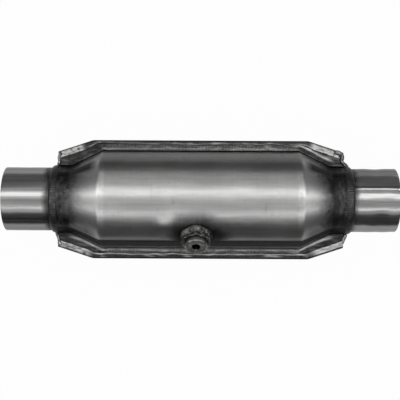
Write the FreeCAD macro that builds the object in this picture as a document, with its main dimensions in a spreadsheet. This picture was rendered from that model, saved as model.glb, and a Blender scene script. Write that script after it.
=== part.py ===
import FreeCAD
import Part
import Sketcher
import math
import os

# Catalytic converter for a 2.5 inch exhaust pipe, in millimetres.
# Two stamped half shells carry a neck at each end and two coated honeycomb bricks inside.
# X runs with the gas from the inlet to the outlet, on the axis of the body. The half shells
# meet in the plane Z = 0, and Z points out of the half that carries the sensor boss.

# Every size that a designer would set: its name, its value and what it measures.
SIZES = [
    ("overall_length", 406.4, "mouth to mouth"),
    ("pipe_diameter", 63.5, "outside of the exhaust pipe that slides into a neck"),
    ("pipe_clearance", 0.3, "on that diameter"),
    ("neck_wall", 1.2, "wall of the neck tube"),
    ("neck_insert", 12.0, "length of neck inside the collar"),
    ("collar_clearance", 0.1, "between neck and collar, on the radius"),
    ("sheet", 1.5, "wall of the half shells"),
    ("body_diameter", 101.6, "outside of the body"),
    ("body_straight", 206.0, "length at full diameter"),
    ("cone_length", 32.0, "length of each end cone along X"),
    ("collar_length", 14.5, "from the cone to the end of the shell"),
    ("shoulder_radius", 10.0, "outside of the bend from body to cone"),
    ("throat_radius", 8.0, "outside of the bend from cone to collar"),
    ("flange_bend", 1.8, "outside of the bend from dome to flange"),
    ("flange_reach", 11.4, "from the body's side to the outer face of the hem"),
    ("flange_overrun", 10.0, "straight flange past the shoulder"),
    ("flange_end_reach", 15.5, "from the collar's side to the hem at the end"),
    ("flange_corner", 12.0, "radius of the fold line at the flange's corners"),
    ("lip_width", 4.8, "hem from its outer face to its free edge"),
    ("lip_edge", 0.5, "rounding of the hem's free edge"),
    ("hem_clearance", 0.2, "between the upper flange's edge and the fold"),
    ("weld_on_collar", 2.7, "neck weld along the collar"),
    ("weld_on_neck", 6.3, "neck weld along the neck"),
    ("weld_crown", 2.3, "rise of the neck weld over its chord"),
    ("end_weld_radius", 2.3, "bead that closes the flange's end"),
    ("end_weld_inset", 0.7, "its centre behind the shell's end"),
    ("knob_radius", 3.1, "end of that bead, round the hem"),
    ("sensor_offset", -4.4, "sensor axis along X"),
    ("sensor_angle", 50.0, "sensor axis from Z towards the right side, in degrees"),
    ("boss_flats", 27.0, "across the flats of the hexagonal boss"),
    ("boss_height", 6.5, "top of the boss over the body"),
    ("boss_crown", 1.4, "depth of the turned chamfer on the hexagon"),
    ("spigot_diameter", 23.0, "round foot of the boss in the shell"),
    ("spigot_depth", 3.0, "foot below the top of the body's curve"),
    ("spigot_clearance", 0.2, "in the shell's hole, on the radius"),
    ("thread_diameter", 18.0, "sensor thread"),
    ("thread_clearance", 0.1, "on the radius"),
    ("boss_weld_width", 5.9, "foot of the boss weld past the flats"),
    ("boss_weld_height", 4.6, "boss weld over the body"),
    ("gasket_diameter", 24.0, "sealing ring under the plug"),
    ("gasket_thickness", 1.2, "sealing ring"),
    ("plug_head_diameter", 23.0, "round head of the plug"),
    ("plug_head_height", 4.0, "round head of the plug"),
    ("plug_edge", 0.8, "rounding of the head's edge"),
    ("plug_thread", 12.0, "threaded length under the head"),
    ("plug_neck_width", 1.6, "undercut between head and thread"),
    ("plug_neck_depth", 0.9, "undercut, on the radius"),
    ("plug_lead", 1.2, "chamfer at the thread's end"),
    ("key_flats", 8.0, "hexagonal key socket"),
    ("key_depth", 7.0, "hexagonal key socket"),
    ("mat_thickness", 2.8, "support mat between brick and body"),
    ("seal_width", 6.0, "wire seal at each end of a mat"),
    ("seal_round", 1.0, "rounding of the seal's corners"),
    ("brick_end_room", 5.0, "from a brick's outer face to the cone"),
    ("brick_gap_room", 0.6, "from a brick's inner face to the boss's foot"),
    ("cell_pitch", 9.0, "channels of the brick"),
    ("cell_wall", 1.1, "wall between two channels"),
    ("brick_skin", 1.2, "least wall round the channels"),
]

# Places and sizes that follow from those, as formulas on the same names.
BODY = "(Sizes.body_diameter / 2)"
BORE = "((Sizes.pipe_diameter + Sizes.pipe_clearance) / 2)"
NECK = f"({BORE} + Sizes.neck_wall)"
COLLAR = f"({NECK} + Sizes.collar_clearance + Sizes.sheet)"
BODY_END = "(Sizes.body_straight / 2)"
CONE_END = f"({BODY_END} + Sizes.cone_length)"
SHELL_END = f"({CONE_END} + Sizes.collar_length)"
MOUTH = "(Sizes.overall_length / 2)"
CONE_ANGLE = f"(atan(({BODY} - {COLLAR}) / Sizes.cone_length))"
WALL_SHIFT = f"(Sizes.sheet * tan({CONE_ANGLE} / 2))"

HEM_SIDE = f"({BODY} + Sizes.flange_reach)"
HEM_SIDE_AT_END = f"({COLLAR} + Sizes.flange_end_reach)"
HEM_CORNER = f"({BODY_END} + Sizes.flange_overrun)"
HEM_ANGLE = f"(atan(({HEM_SIDE} - {HEM_SIDE_AT_END}) / ({SHELL_END} - {HEM_CORNER})))"
FOLD_RADIUS = "(Sizes.sheet * 1.5)"

BOSS_TOP = f"({BODY} + Sizes.boss_height)"
SEAT_TOP = f"({BOSS_TOP} + Sizes.gasket_thickness)"
PLUG_TOP = f"({SEAT_TOP} + Sizes.plug_head_height)"
THREAD = "(Sizes.thread_diameter / 2)"

BORE_OF_SHELL = f"({BODY} - Sizes.sheet)"
BRICK = f"({BORE_OF_SHELL} - Sizes.mat_thickness)"
BRICK_INNER = "(abs(Sizes.sensor_offset) + Sizes.spigot_diameter / 2 + Sizes.brick_gap_room)"
BRICK_OUTER = f"({BODY_END} - Sizes.brick_end_room)"

doc = FreeCAD.newDocument("catalytic_converter")
sheet = doc.addObject("Spreadsheet::Sheet", "Sizes")
for row, (name, size, meaning) in enumerate(SIZES, start=1):
    sheet.set(f"A{row}", name)
    sheet.set(f"B{row}", str(size))
    sheet.setAlias(f"B{row}", name)
    sheet.set(f"C{row}", meaning)
doc.recompute()


def number(formula):
    """The value of a formula on the sheet, as a plain number."""
    found = sheet.evalExpression(formula)
    return float(getattr(found, "Value", found))


def new_body(label, half_turn=None):
    """A body under its own label, turned half round about an axis where one is given."""
    body = doc.addObject("PartDesign::Body", label)
    body.Label = label
    if half_turn is not None:
        turn = FreeCAD.Rotation(half_turn, 180)
        body.Placement = FreeCAD.Placement(FreeCAD.Vector(0, 0, 0), turn)
    return body


def new_sketch(body, name, plane, shift=None, turn=None):
    """An empty sketch on one of the body's own planes, shifted and turned by formulas."""
    made = body.newObject("Sketcher::SketchObject", name)
    support = [each for each in body.Origin.OriginFeatures if each.Role == plane]
    made.AttachmentSupport = (support[0], "")
    made.MapMode = "FlatFace"
    if shift is not None:
        made.setExpression("AttachmentOffset.Base.z", shift)
    if turn is not None:
        made.setExpression("AttachmentOffset.Rotation.Angle", turn)
    return made


def arc_between(start, end, radius, left):
    """An arc from start to end, bulging to the left or the right of the way along it."""
    chord = end - start
    middle = (start + end) / 2
    side = FreeCAD.Vector(-chord.y, chord.x, 0).normalize()
    if not left:
        side = -side
    rise = radius - math.sqrt(max(radius * radius - chord.Length ** 2 / 4, 0.0))
    return Part.Arc(start, middle + side * rise, end)


def held_point(line, end, across, along):
    """Constraints that hold one end of a line at two formulas' place, each with its formula."""
    held = []
    for kind, axis, formula in (("DistanceX", -2, across), ("DistanceY", -1, along)):
        if formula == "0":
            held.append((Sketcher.Constraint("PointOnObject", line, end, axis), None))
        else:
            size = number(formula)
            held.append((Sketcher.Constraint(kind, -1, 1, line, end, size), formula))
    return held


def hold(sketch, held):
    """Add constraints to a sketch and bind the sized ones to their formulas."""
    first = sketch.ConstraintCount
    sketch.addConstraint([constraint for constraint, _ in held])
    for index, (_, formula) in enumerate(held, start=first):
        if formula is not None:
            sketch.setExpression(f"Constraints[{index}]", formula)


def draw_outline(sketch, corners, arcs=None, closed=True):
    """Lines from corner to corner, each corner a pair of formulas.

    arcs gives, for a line's index, the radius formula and the side to which it bulges. An
    arc with no radius is half a circle on an upright chord.
    """
    arcs = arcs or {}
    places = [FreeCAD.Vector(number(x), number(y), 0) for x, y in corners]
    count = len(corners) if closed else len(corners) - 1
    first = sketch.GeometryCount
    drawn = []
    for index in range(count):
        start = places[index]
        end = places[(index + 1) % len(corners)]
        if index in arcs:
            radius, left = arcs[index]
            size = number(radius) if radius else (end - start).Length / 2
            drawn.append(arc_between(start, end, size, left))
        else:
            drawn.append(Part.LineSegment(start, end))
    sketch.addGeometry(drawn)
    ends = [line_ends(sketch, first + index, places[index]) for index in range(count)]
    held = []
    for index in range(count if closed else count - 1):
        following = (index + 1) % count
        here = (first + index, ends[index][1])
        there = (first + following, ends[following][0])
        held.append((Sketcher.Constraint("Coincident", *here, *there), None))
    for index in range(count):
        held += held_point(first + index, ends[index][0], *corners[index])
    if not closed:
        held += held_point(first + count - 1, ends[count - 1][1], *corners[count])
    for index, (radius, _) in arcs.items():
        arc = first + index
        if radius is None:
            held.append((Sketcher.Constraint("Vertical", arc, 3, arc, 1), None))
        else:
            held.append((Sketcher.Constraint("Radius", arc, number(radius)), radius))
    hold(sketch, held)


def line_ends(sketch, index, start):
    """Which ends of a drawn line or arc are its first and its last."""
    first = sketch.getPoint(index, 1)
    if (first - start).Length < (sketch.getPoint(index, 2) - start).Length:
        return 1, 2
    return 2, 1


def draw_circle(sketch, radius):
    """A circle round the sketch's origin, its radius a formula."""
    size = number(radius)
    drawn = sketch.addGeometry(
        Part.Circle(FreeCAD.Vector(0, 0, 0), FreeCAD.Vector(0, 0, 1), size)
    )
    middle = Sketcher.Constraint("Coincident", drawn, 3, -1, 1)
    hold(sketch, [(middle, None), (Sketcher.Constraint("Radius", drawn, size), radius)])


def draw_hexagon(sketch, flats):
    """A hexagon round the origin with two corners on the sketch's V axis."""
    half = f"({flats} / 2)"
    point = f"({flats} / sqrt(3))"
    corners = [
        ("0", point),
        (half, f"{point} / 2"),
        (half, f"-{point} / 2"),
        ("0", f"-{point}"),
        (f"-{half}", f"-{point} / 2"),
        (f"-{half}", f"{point} / 2"),
    ]
    draw_outline(sketch, corners)


def turned(body, name, profile, cut=False, half=False, axis="H_Axis"):
    """Material added or cut by turning a profile about one of its sketch's axes."""
    kind = "PartDesign::Groove" if cut else "PartDesign::Revolution"
    feature = body.newObject(kind, name)
    feature.Profile = profile
    feature.ReferenceAxis = (profile, [axis])
    feature.Angle = 180 if half else 360
    feature.Midplane = half
    doc.recompute()
    return feature


def padded(body, name, profile, length, both_ways=False):
    """Material added straight up from a profile."""
    feature = body.newObject("PartDesign::Pad", name)
    feature.Profile = profile
    feature.setExpression("Length", length)
    feature.Midplane = both_ways
    doc.recompute()
    return feature


def pocketed(body, name, profile, length=None, both_ways=False):
    """Material cut up from a profile, right through where no length is given."""
    feature = body.newObject("PartDesign::Pocket", name)
    feature.Profile = profile
    if length is None:
        feature.Type = "ThroughAll"
    else:
        feature.setExpression("Length", length)
    feature.Midplane = both_ways
    feature.Reversed = True
    doc.recompute()
    return feature


def edges_where(feature, wanted):
    """Names of the feature's edges that meet a test."""
    found = []
    for index, edge in enumerate(feature.Shape.Edges, start=1):
        if wanted(edge):
            found.append(f"Edge{index}")
    return found


def rounded(body, name, feature, wanted, radius):
    """A fillet on every edge of the last feature that meets a test."""
    fillet = body.newObject("PartDesign::Fillet", name)
    fillet.Base = (feature, edges_where(feature, wanted))
    fillet.setExpression("Radius", radius)
    doc.recompute()
    return fillet


def is_ring(edge, radius, place):
    """Whether an edge is an arc about X of this radius, at this distance from the middle."""
    curve = edge.Curve
    return (
        isinstance(curve, Part.Circle)
        and abs(curve.Radius - radius) < 1e-4
        and abs(abs(curve.Center.x) - place) < 1e-4
        and abs(abs(curve.Axis.x) - 1) < 1e-6
    )


def dome_profile(shrink):
    """Corners of half a shell's long section, with the wall taken off where it shrinks."""
    body_radius = f"{BODY} - {shrink}"
    collar_radius = f"{COLLAR} - {shrink}"
    shift = WALL_SHIFT if shrink != "0" else "0"
    body_end = f"{BODY_END} - {shift}"
    cone_end = f"{CONE_END} - {shift}"
    return [
        (f"-{SHELL_END}", "0"),
        (f"-{SHELL_END}", collar_radius),
        (f"-({cone_end})", collar_radius),
        (f"-({body_end})", body_radius),
        (body_end, body_radius),
        (cone_end, collar_radius),
        (SHELL_END, collar_radius),
        (SHELL_END, "0"),
    ]


def hem_line(inset, end):
    """Where the line this far inside the hem's outer face bends, and where it ends."""
    side = f"({HEM_SIDE} - {inset})"
    corner = f"({HEM_CORNER} - {inset} * tan({HEM_ANGLE} / 2))"
    reach = f"(Sizes.flange_corner * tan({HEM_ANGLE} / 2))"
    return [
        (f"({corner} - {reach})", side),
        (f"({corner} + {reach} * cos({HEM_ANGLE}))", f"({side} - {reach} * sin({HEM_ANGLE}))"),
        (end, f"({side} - ({end} - {corner}) * tan({HEM_ANGLE}))"),
    ]


def draw_flange(sketch, inset):
    """A flange whose sloping and straight edges lie this far inside the hem's outer face."""
    inwards = hem_line(inset, SHELL_END)
    outwards = inwards[::-1]
    corners = outwards + [(f"-{x}", y) for x, y in inwards]
    corners += [(f"-{x}", f"-{y}") for x, y in outwards]
    corners += [(x, f"-{y}") for x, y in inwards]
    bend = ("Sizes.flange_corner", False)
    draw_outline(sketch, corners, arcs={1: bend, 3: bend, 7: bend, 9: bend})


def stamp_half_shell(body, inset):
    """One stamped half: a dome with its cones and collars, and a flange bent out of it."""
    form = new_sketch(body, "dome_section", "XZ_Plane")
    draw_outline(form, dome_profile("0"))
    dome = turned(body, "dome", form, half=True)
    body_radius = number(BODY)
    collar_radius = number(COLLAR)
    shoulders = rounded(
        body, "shoulders", dome,
        lambda edge: is_ring(edge, body_radius, number(BODY_END)),
        "Sizes.shoulder_radius",
    )
    throats = rounded(
        body, "throats", shoulders,
        lambda edge: is_ring(edge, collar_radius, number(CONE_END)),
        "Sizes.throat_radius",
    )
    plan = new_sketch(body, "flange_plan", "XY_Plane")
    draw_flange(plan, inset)
    flange = padded(body, "flange", plan, "Sizes.sheet")
    top = number("Sizes.sheet")
    bends = rounded(
        body, "outer_bends", flange,
        lambda edge: edge.BoundBox.ZLength < 1e-3
        and abs(edge.BoundBox.Center.z - top) < 1e-3
        and edge.BoundBox.XLength > 0.2
        and on_dome(edge),
        "Sizes.flange_bend",
    )
    hollow_section = new_sketch(body, "hollow_section", "XZ_Plane")
    draw_outline(hollow_section, dome_profile("Sizes.sheet"))
    hollow = turned(body, "hollow", hollow_section, cut=True, half=True)
    inner_body = number(BORE_OF_SHELL)
    inner_collar = number(f"{COLLAR} - Sizes.sheet")
    inner_shoulders = rounded(
        body, "inner_shoulders", hollow,
        lambda edge: is_ring(edge, inner_body, number(f"{BODY_END} - {WALL_SHIFT}")),
        "Sizes.shoulder_radius - Sizes.sheet",
    )
    inner_throats = rounded(
        body, "inner_throats", inner_shoulders,
        lambda edge: is_ring(edge, inner_collar, number(f"{CONE_END} - {WALL_SHIFT}")),
        "Sizes.throat_radius + Sizes.sheet",
    )
    inner_bends = rounded(
        body, "inner_bends", inner_throats,
        lambda edge: edge.BoundBox.ZLength < 1e-3
        and abs(edge.BoundBox.Center.z) < 1e-3
        and edge.BoundBox.XLength > 0.2
        and in_hollow(edge),
        "Sizes.flange_bend + Sizes.sheet",
    )
    return inner_bends


def radius_of_dome(x, shrink):
    """Radius of the sharp-cornered dome at a distance from the middle."""
    body_radius = number(BODY) - shrink
    collar_radius = number(COLLAR) - shrink
    share = (abs(x) - number(BODY_END)) / number("Sizes.cone_length")
    return body_radius + (collar_radius - body_radius) * min(max(share, 0.0), 1.0)


def on_dome(edge):
    """Whether an edge runs along the foot of the dome's outside."""
    middle = edge.valueAt((edge.FirstParameter + edge.LastParameter) / 2)
    return abs(math.hypot(middle.y, middle.z) - radius_of_dome(middle.x, 0.0)) < 1.0


def in_hollow(edge):
    """Whether an edge runs along the foot of the dome's inside."""
    middle = edge.valueAt((edge.FirstParameter + edge.LastParameter) / 2)
    shrink = number("Sizes.sheet")
    return abs(math.hypot(middle.y, middle.z) - radius_of_dome(middle.x, shrink)) < 1.0


def make_upper_shell():
    """The half with the sensor's hole, its flange held in the other half's hem."""
    body = new_body("upper_shell")
    stamp_half_shell(body, f"({FOLD_RADIUS} + Sizes.hem_clearance)")
    hole = new_sketch(
        body, "sensor_hole_section", "YZ_Plane", "Sizes.sensor_offset", "Sizes.sensor_angle"
    )
    radius = "Sizes.spigot_diameter / 2 + Sizes.spigot_clearance"
    top = f"{BODY} + Sizes.sheet"
    draw_outline(hole, [("0", "0"), (radius, "0"), (radius, top), ("0", top)])
    body.Tip = turned(body, "sensor_hole", hole, cut=True, axis="V_Axis")
    return body


def make_lower_shell():
    """The half whose flange is folded over the other's edge, drawn dome up and turned over."""
    body = new_body("lower_shell", half_turn=FreeCAD.Vector(1, 0, 0))
    stamp_half_shell(body, FOLD_RADIUS)
    fold = f"({HEM_SIDE} - {FOLD_RADIUS})"
    lip = f"({HEM_SIDE} - Sizes.lip_width)"
    section = new_sketch(body, "hem_section", "YZ_Plane")
    draw_outline(
        section,
        [
            (fold, "0"),
            (fold, "Sizes.sheet"),
            (fold, "-2 * Sizes.sheet"),
            (f"{lip} + Sizes.lip_edge", "-2 * Sizes.sheet"),
            (lip, "-2 * Sizes.sheet + Sizes.lip_edge"),
            (lip, "-Sizes.sheet"),
            (fold, "-Sizes.sheet"),
        ],
        arcs={1: (None, True), 3: ("Sizes.lip_edge", True), 6: (None, False)},
    )
    path = new_sketch(body, "hem_path", "XY_Plane")
    beyond = f"({SHELL_END} + 2 * Sizes.sheet)"
    draw_outline(
        path,
        [("0", fold)] + hem_line(FOLD_RADIUS, beyond),
        arcs={1: ("Sizes.flange_corner", True)},
        closed=False,
    )
    hem = body.newObject("PartDesign::AdditivePipe", "hem")
    hem.Profile = section
    hem.Spine = path
    doc.recompute()
    mirrored(body, "all_hems", hem, ["YZ_Plane", "XZ_Plane"])
    waste = new_sketch(body, "end_waste", "XY_Plane")
    far = f"({SHELL_END} + 8 * Sizes.sheet)"
    draw_outline(
        waste,
        [
            (SHELL_END, f"-{HEM_SIDE}"),
            (far, f"-{HEM_SIDE}"),
            (far, HEM_SIDE),
            (SHELL_END, HEM_SIDE),
        ],
    )
    trim = pocketed(body, "end_trim", waste, both_ways=True)
    mirrored(body, "both_end_trims", trim, ["YZ_Plane"])
    return body


def mirrored(body, name, feature, planes):
    """A feature repeated on the other side of each of the body's planes in turn."""
    repeat = body.newObject("PartDesign::MultiTransform", name)
    mirrors = []
    for plane in planes:
        support = [each for each in body.Origin.OriginFeatures if each.Role == plane]
        mirror = body.newObject("PartDesign::Mirrored", f"{name}_{plane}")
        mirror.MirrorPlane = (support[0], [""])
        mirrors.append(mirror)
    repeat.Originals = [feature]
    repeat.Transformations = mirrors
    body.Tip = repeat
    doc.recompute()
    return repeat


def make_neck(label, half_turn=None):
    """A straight tube from inside the collar to its mouth."""
    body = new_body(label, half_turn)
    wall = new_sketch(body, "wall_section", "XZ_Plane")
    inner_end = f"({SHELL_END} - Sizes.neck_insert)"
    draw_outline(
        wall, [(inner_end, BORE), (MOUTH, BORE), (MOUTH, NECK), (inner_end, NECK)]
    )
    turned(body, "tube", wall)
    return body


def draw_neck_weld(sketch):
    """Section of the bead that laps from the collar's end down to the neck."""
    chord = (
        f"((Sizes.weld_on_collar + Sizes.weld_on_neck) ^ 2 + ({COLLAR} - {NECK}) ^ 2)"
    )
    crown = f"(({chord} / 4 + Sizes.weld_crown ^ 2) / (2 * Sizes.weld_crown))"
    draw_outline(
        sketch,
        [
            (f"{SHELL_END} - Sizes.weld_on_collar", COLLAR),
            (f"{SHELL_END} + Sizes.weld_on_neck", NECK),
            (SHELL_END, NECK),
            (SHELL_END, COLLAR),
        ],
        arcs={0: (crown, True)},
    )


def make_neck_weld(label, half_turn=None):
    """The bead round a neck, open over the collar where the flanges leave it."""
    body = new_body(label, half_turn)
    section = new_sketch(body, "bead_section", "XZ_Plane")
    draw_neck_weld(section)
    turned(body, "bead", section)
    slot = new_sketch(body, "flange_slot", "XZ_Plane")
    rise = "(Sizes.sheet + Sizes.flange_bend)"
    start = f"({SHELL_END} - 2 * Sizes.weld_on_collar)"
    draw_outline(
        slot,
        [(start, f"-{rise}"), (SHELL_END, f"-{rise}"), (SHELL_END, rise), (start, rise)],
    )
    pocketed(body, "flange_slots", slot, both_ways=True)
    return body


def make_end_weld(label, side, half_turn=None):
    """The bead that closes the flanges' end from the neck weld to the hem."""
    body = new_body(label, half_turn)
    axis_place = f"({SHELL_END} - Sizes.end_weld_inset)"
    inner = f"({side} * {COLLAR})"
    outer = f"({side} * ({HEM_SIDE_AT_END} - {FOLD_RADIUS}))"
    knob_start = f"({side} * ({HEM_SIDE_AT_END} - {FOLD_RADIUS} - Sizes.knob_radius))"
    section = new_sketch(body, "bead_section", "XY_Plane", "Sizes.sheet / 2")
    section.setExpression("AttachmentOffset.Base.x", axis_place)
    draw_outline(
        section,
        [
            ("0", inner),
            ("Sizes.end_weld_radius", inner),
            ("Sizes.end_weld_radius", knob_start),
            ("Sizes.knob_radius", outer),
            ("0", f"{outer} + {side} * Sizes.knob_radius"),
        ],
        arcs={3: ("Sizes.knob_radius", side > 0)},
    )
    bead = turned(body, "bead", section, axis="V_Axis")
    shell_side = new_sketch(body, "shell_side", "XY_Plane")
    behind = f"({SHELL_END} - 3 * Sizes.knob_radius)"
    near = f"({side} * ({COLLAR} - Sizes.sheet))"
    beyond = f"({side} * ({HEM_SIDE_AT_END} + 2 * Sizes.knob_radius))"
    draw_outline(
        shell_side, [(behind, near), (SHELL_END, near), (SHELL_END, beyond), (behind, beyond)]
    )
    pocketed(body, "seat_on_shells", shell_side, both_ways=True)
    crown = new_sketch(body, "neck_weld_section", "XZ_Plane")
    draw_neck_weld(crown)
    turned(body, "seat_on_neck_weld", crown, cut=True)
    return body


def place_on_sensor_axis(body):
    """Stand a body that was drawn round Z on the sensor's axis."""
    body.setExpression("Placement.Base.x", "Sizes.sensor_offset")
    body.Placement = FreeCAD.Placement(
        FreeCAD.Vector(0, 0, 0), FreeCAD.Rotation(FreeCAD.Vector(1, 0, 0), 1)
    )
    body.setExpression("Placement.Rotation.Angle", "Sizes.sensor_angle")


def cope(body, name, radius):
    """Cut away what lies inside a cylinder about the body's axis."""
    section = new_sketch(body, f"{name}_section", "XZ_Plane")
    reach = "Sizes.spigot_diameter * 2"
    draw_outline(
        section, [(f"-{reach}", "0"), (reach, "0"), (reach, radius), (f"-{reach}", radius)]
    )
    return turned(body, name, section, cut=True)


def make_sensor_boss():
    """A hexagonal threaded boss, coped to the body, with a round foot through its hole."""
    body = new_body("sensor_boss")
    plan = new_sketch(body, "hexagon", "XY_Plane")
    draw_hexagon(plan, "Sizes.boss_flats")
    padded(body, "block", plan, BOSS_TOP)
    cope(body, "saddle", BODY)
    foot_plan = new_sketch(body, "foot_plan", "XY_Plane", f"{BODY} - Sizes.spigot_depth")
    draw_circle(foot_plan, "Sizes.spigot_diameter / 2")
    padded(body, "foot", foot_plan, "Sizes.spigot_depth + Sizes.boss_height / 2")
    crown = new_sketch(body, "crown_section", "XZ_Plane")
    rim = "(Sizes.boss_flats / 2)"
    outside = "(Sizes.boss_flats * 0.6)"
    draw_outline(
        crown,
        [
            (rim, f"{BOSS_TOP}"),
            (outside, f"{BOSS_TOP} - Sizes.boss_crown"),
            (outside, f"{BOSS_TOP} + Sizes.boss_crown"),
            (rim, f"{BOSS_TOP} + Sizes.boss_crown"),
        ],
    )
    turned(body, "crown", crown, cut=True, axis="V_Axis")
    bore = new_sketch(body, "bore_plan", "XY_Plane")
    draw_circle(bore, THREAD)
    pocketed(body, "bore", bore)
    place_on_sensor_axis(body)
    return body


def make_boss_weld():
    """The fillet bead round the boss, following the body's curve."""
    body = new_body("sensor_boss_weld")
    section = new_sketch(body, "bead_section", "XZ_Plane")
    toe = "(Sizes.boss_flats / 2 + Sizes.boss_weld_width)"
    root = f"({BODY} - Sizes.boss_weld_width)"
    draw_outline(
        section,
        [
            ("0", root),
            (f"{toe} + Sizes.sheet / 2", root),
            ("Sizes.boss_flats / 2", f"{BODY} + Sizes.boss_weld_height"),
            ("0", f"{BODY} + Sizes.boss_weld_height"),
        ],
        arcs={1: ("Sizes.boss_weld_width + Sizes.boss_weld_height", False)},
    )
    turned(body, "bead", section, axis="V_Axis")
    cope(body, "seat_on_body", BODY)
    plan = new_sketch(body, "hexagon", "XY_Plane")
    draw_hexagon(plan, "Sizes.boss_flats")
    pocketed(body, "seat_on_boss", plan)
    place_on_sensor_axis(body)
    return body


def make_gasket():
    """The flat sealing ring under the plug's head."""
    body = new_body("plug_gasket")
    section = new_sketch(body, "ring_section", "XZ_Plane")
    outer = "(Sizes.gasket_diameter / 2)"
    round_off = "(Sizes.gasket_thickness / 4)"
    draw_outline(
        section,
        [
            (THREAD, BOSS_TOP),
            (f"{outer} - {round_off}", BOSS_TOP),
            (outer, f"{BOSS_TOP} + {round_off}"),
            (outer, f"{SEAT_TOP} - {round_off}"),
            (f"{outer} - {round_off}", SEAT_TOP),
            (THREAD, SEAT_TOP),
        ],
    )
    turned(body, "ring", section, axis="V_Axis")
    place_on_sensor_axis(body)
    return body


def make_plug():
    """The socket plug: a round head, an undercut and a shank as thick as its thread."""
    body = new_body("sensor_plug")
    section = new_sketch(body, "plug_section", "XZ_Plane")
    head = "(Sizes.plug_head_diameter / 2)"
    shank = f"({THREAD} - Sizes.thread_clearance)"
    end = f"({SEAT_TOP} - Sizes.plug_thread)"
    undercut = f"({shank} - Sizes.plug_neck_depth)"
    undercut_end = f"({SEAT_TOP} - Sizes.plug_neck_width)"
    draw_outline(
        section,
        [
            ("0", end),
            (f"{shank} - Sizes.plug_lead", end),
            (shank, f"{end} + Sizes.plug_lead"),
            (shank, f"{undercut_end} - Sizes.plug_neck_depth"),
            (undercut, undercut_end),
            (undercut, SEAT_TOP),
            (head, SEAT_TOP),
            (head, f"{PLUG_TOP} - Sizes.plug_edge"),
            (f"{head} - Sizes.plug_edge", PLUG_TOP),
            ("0", PLUG_TOP),
        ],
        arcs={7: ("Sizes.plug_edge", False)},
    )
    turned(body, "blank", section, axis="V_Axis")
    plan = new_sketch(body, "key_plan", "XY_Plane", f"{PLUG_TOP} - Sizes.key_depth")
    draw_hexagon(plan, "Sizes.key_flats")
    pocketed(body, "key_socket", plan)
    place_on_sensor_axis(body)
    return body


def ring_along_x(body, name, outer, inner, start, end):
    """A ring about X from one place along it to another."""
    section = new_sketch(body, f"{name}_section", "XZ_Plane")
    draw_outline(section, [(start, inner), (end, inner), (end, outer), (start, outer)])
    return turned(body, name, section)


def make_mat(label, half_turn=None):
    """The swelling mat that holds a brick in the body."""
    body = new_body(label, half_turn)
    start = f"{BRICK_INNER} + Sizes.seal_width"
    end = f"{BRICK_OUTER} - Sizes.seal_width"
    ring_along_x(body, "mat", BORE_OF_SHELL, BRICK, start, end)
    return body


def make_seal(label, outer_end, half_turn=None):
    """The knitted wire ring that keeps hot gas off one end of a mat."""
    body = new_body(label, half_turn)
    if outer_end:
        start = f"({BRICK_OUTER} - Sizes.seal_width)"
    else:
        start = BRICK_INNER
    end = f"({start} + Sizes.seal_width)"
    ring = ring_along_x(body, "seal", BORE_OF_SHELL, BRICK, start, end)
    open_end = number(end if outer_end else start)
    rounded(
        body, "seal_edges", ring,
        lambda edge: is_ring(edge, number(BORE_OF_SHELL), open_end)
        or is_ring(edge, number(BRICK), open_end),
        "Sizes.seal_round",
    )
    return body


def make_brick(label):
    """A ceramic brick with square channels from end to end, row by row."""
    body = new_body(label)
    plan = new_sketch(body, "disc", "YZ_Plane", BRICK_INNER)
    draw_circle(plan, BRICK)
    padded(body, "block", plan, f"{BRICK_OUTER} - {BRICK_INNER}")
    pitch = number("Sizes.cell_pitch")
    half_cell = number("(Sizes.cell_pitch - Sizes.cell_wall) / 2")
    reach = number(f"{BRICK} - Sizes.brick_skin")
    rows = int((reach - half_cell) / pitch)
    for row in range(-rows, rows + 1):
        edge = abs(row) * pitch + half_cell
        each_side = int((math.sqrt(max(reach ** 2 - edge ** 2, 0)) - half_cell) / pitch)
        if edge < reach and each_side >= 0:
            cut_channels(body, row, each_side)
    return body


def cut_channels(body, row, each_side):
    """One row of channels through a brick: as many on each side of the middle one."""
    name = f"row_{row}".replace("-", "under_")
    cells = new_sketch(body, f"{name}_cells", "YZ_Plane", BRICK_INNER)
    half = "((Sizes.cell_pitch - Sizes.cell_wall) / 2)"
    level = f"{row} * Sizes.cell_pitch"
    for column in range(-each_side, each_side + 1):
        across = f"{column} * Sizes.cell_pitch"
        draw_outline(
            cells,
            [
                (f"{across} - {half}", f"{level} - {half}"),
                (f"{across} + {half}", f"{level} - {half}"),
                (f"{across} + {half}", f"{level} + {half}"),
                (f"{across} - {half}", f"{level} + {half}"),
            ],
        )
    pocketed(body, name, cells)


def mirror_image(label, source):
    """The same piece on the other side of the body's middle."""
    image = doc.addObject("Part::Mirroring", label)
    image.Label = label
    image.Source = source
    image.Normal = FreeCAD.Vector(1, 0, 0)
    doc.recompute()
    return image


def write_parts(bodies):
    """Check every object and write each body to its own file."""
    doc.recompute()
    failed = [
        each.Name for each in doc.Objects if {"Invalid", "Error"} & set(each.State)
    ]
    if failed:
        raise RuntimeError(f"failed features: {failed}")
    os.makedirs("parts", exist_ok=True)
    for body in bodies:
        shape = body.Shape
        if shape.isNull() or not shape.isValid() or len(shape.Solids) != 1:
            raise RuntimeError(f"{body.Label} isn't one good solid")
        shape.exportStep(f"parts/{body.Label}.step")
        print(f"{body.Label}: {shape.Volume:.1f} mm3")


# A half turn about Z brings an outlet piece to the inlet and swaps its left and right.
UPSTREAM = FreeCAD.Vector(0, 0, 1)
LEFT = 1
RIGHT = -1

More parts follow.
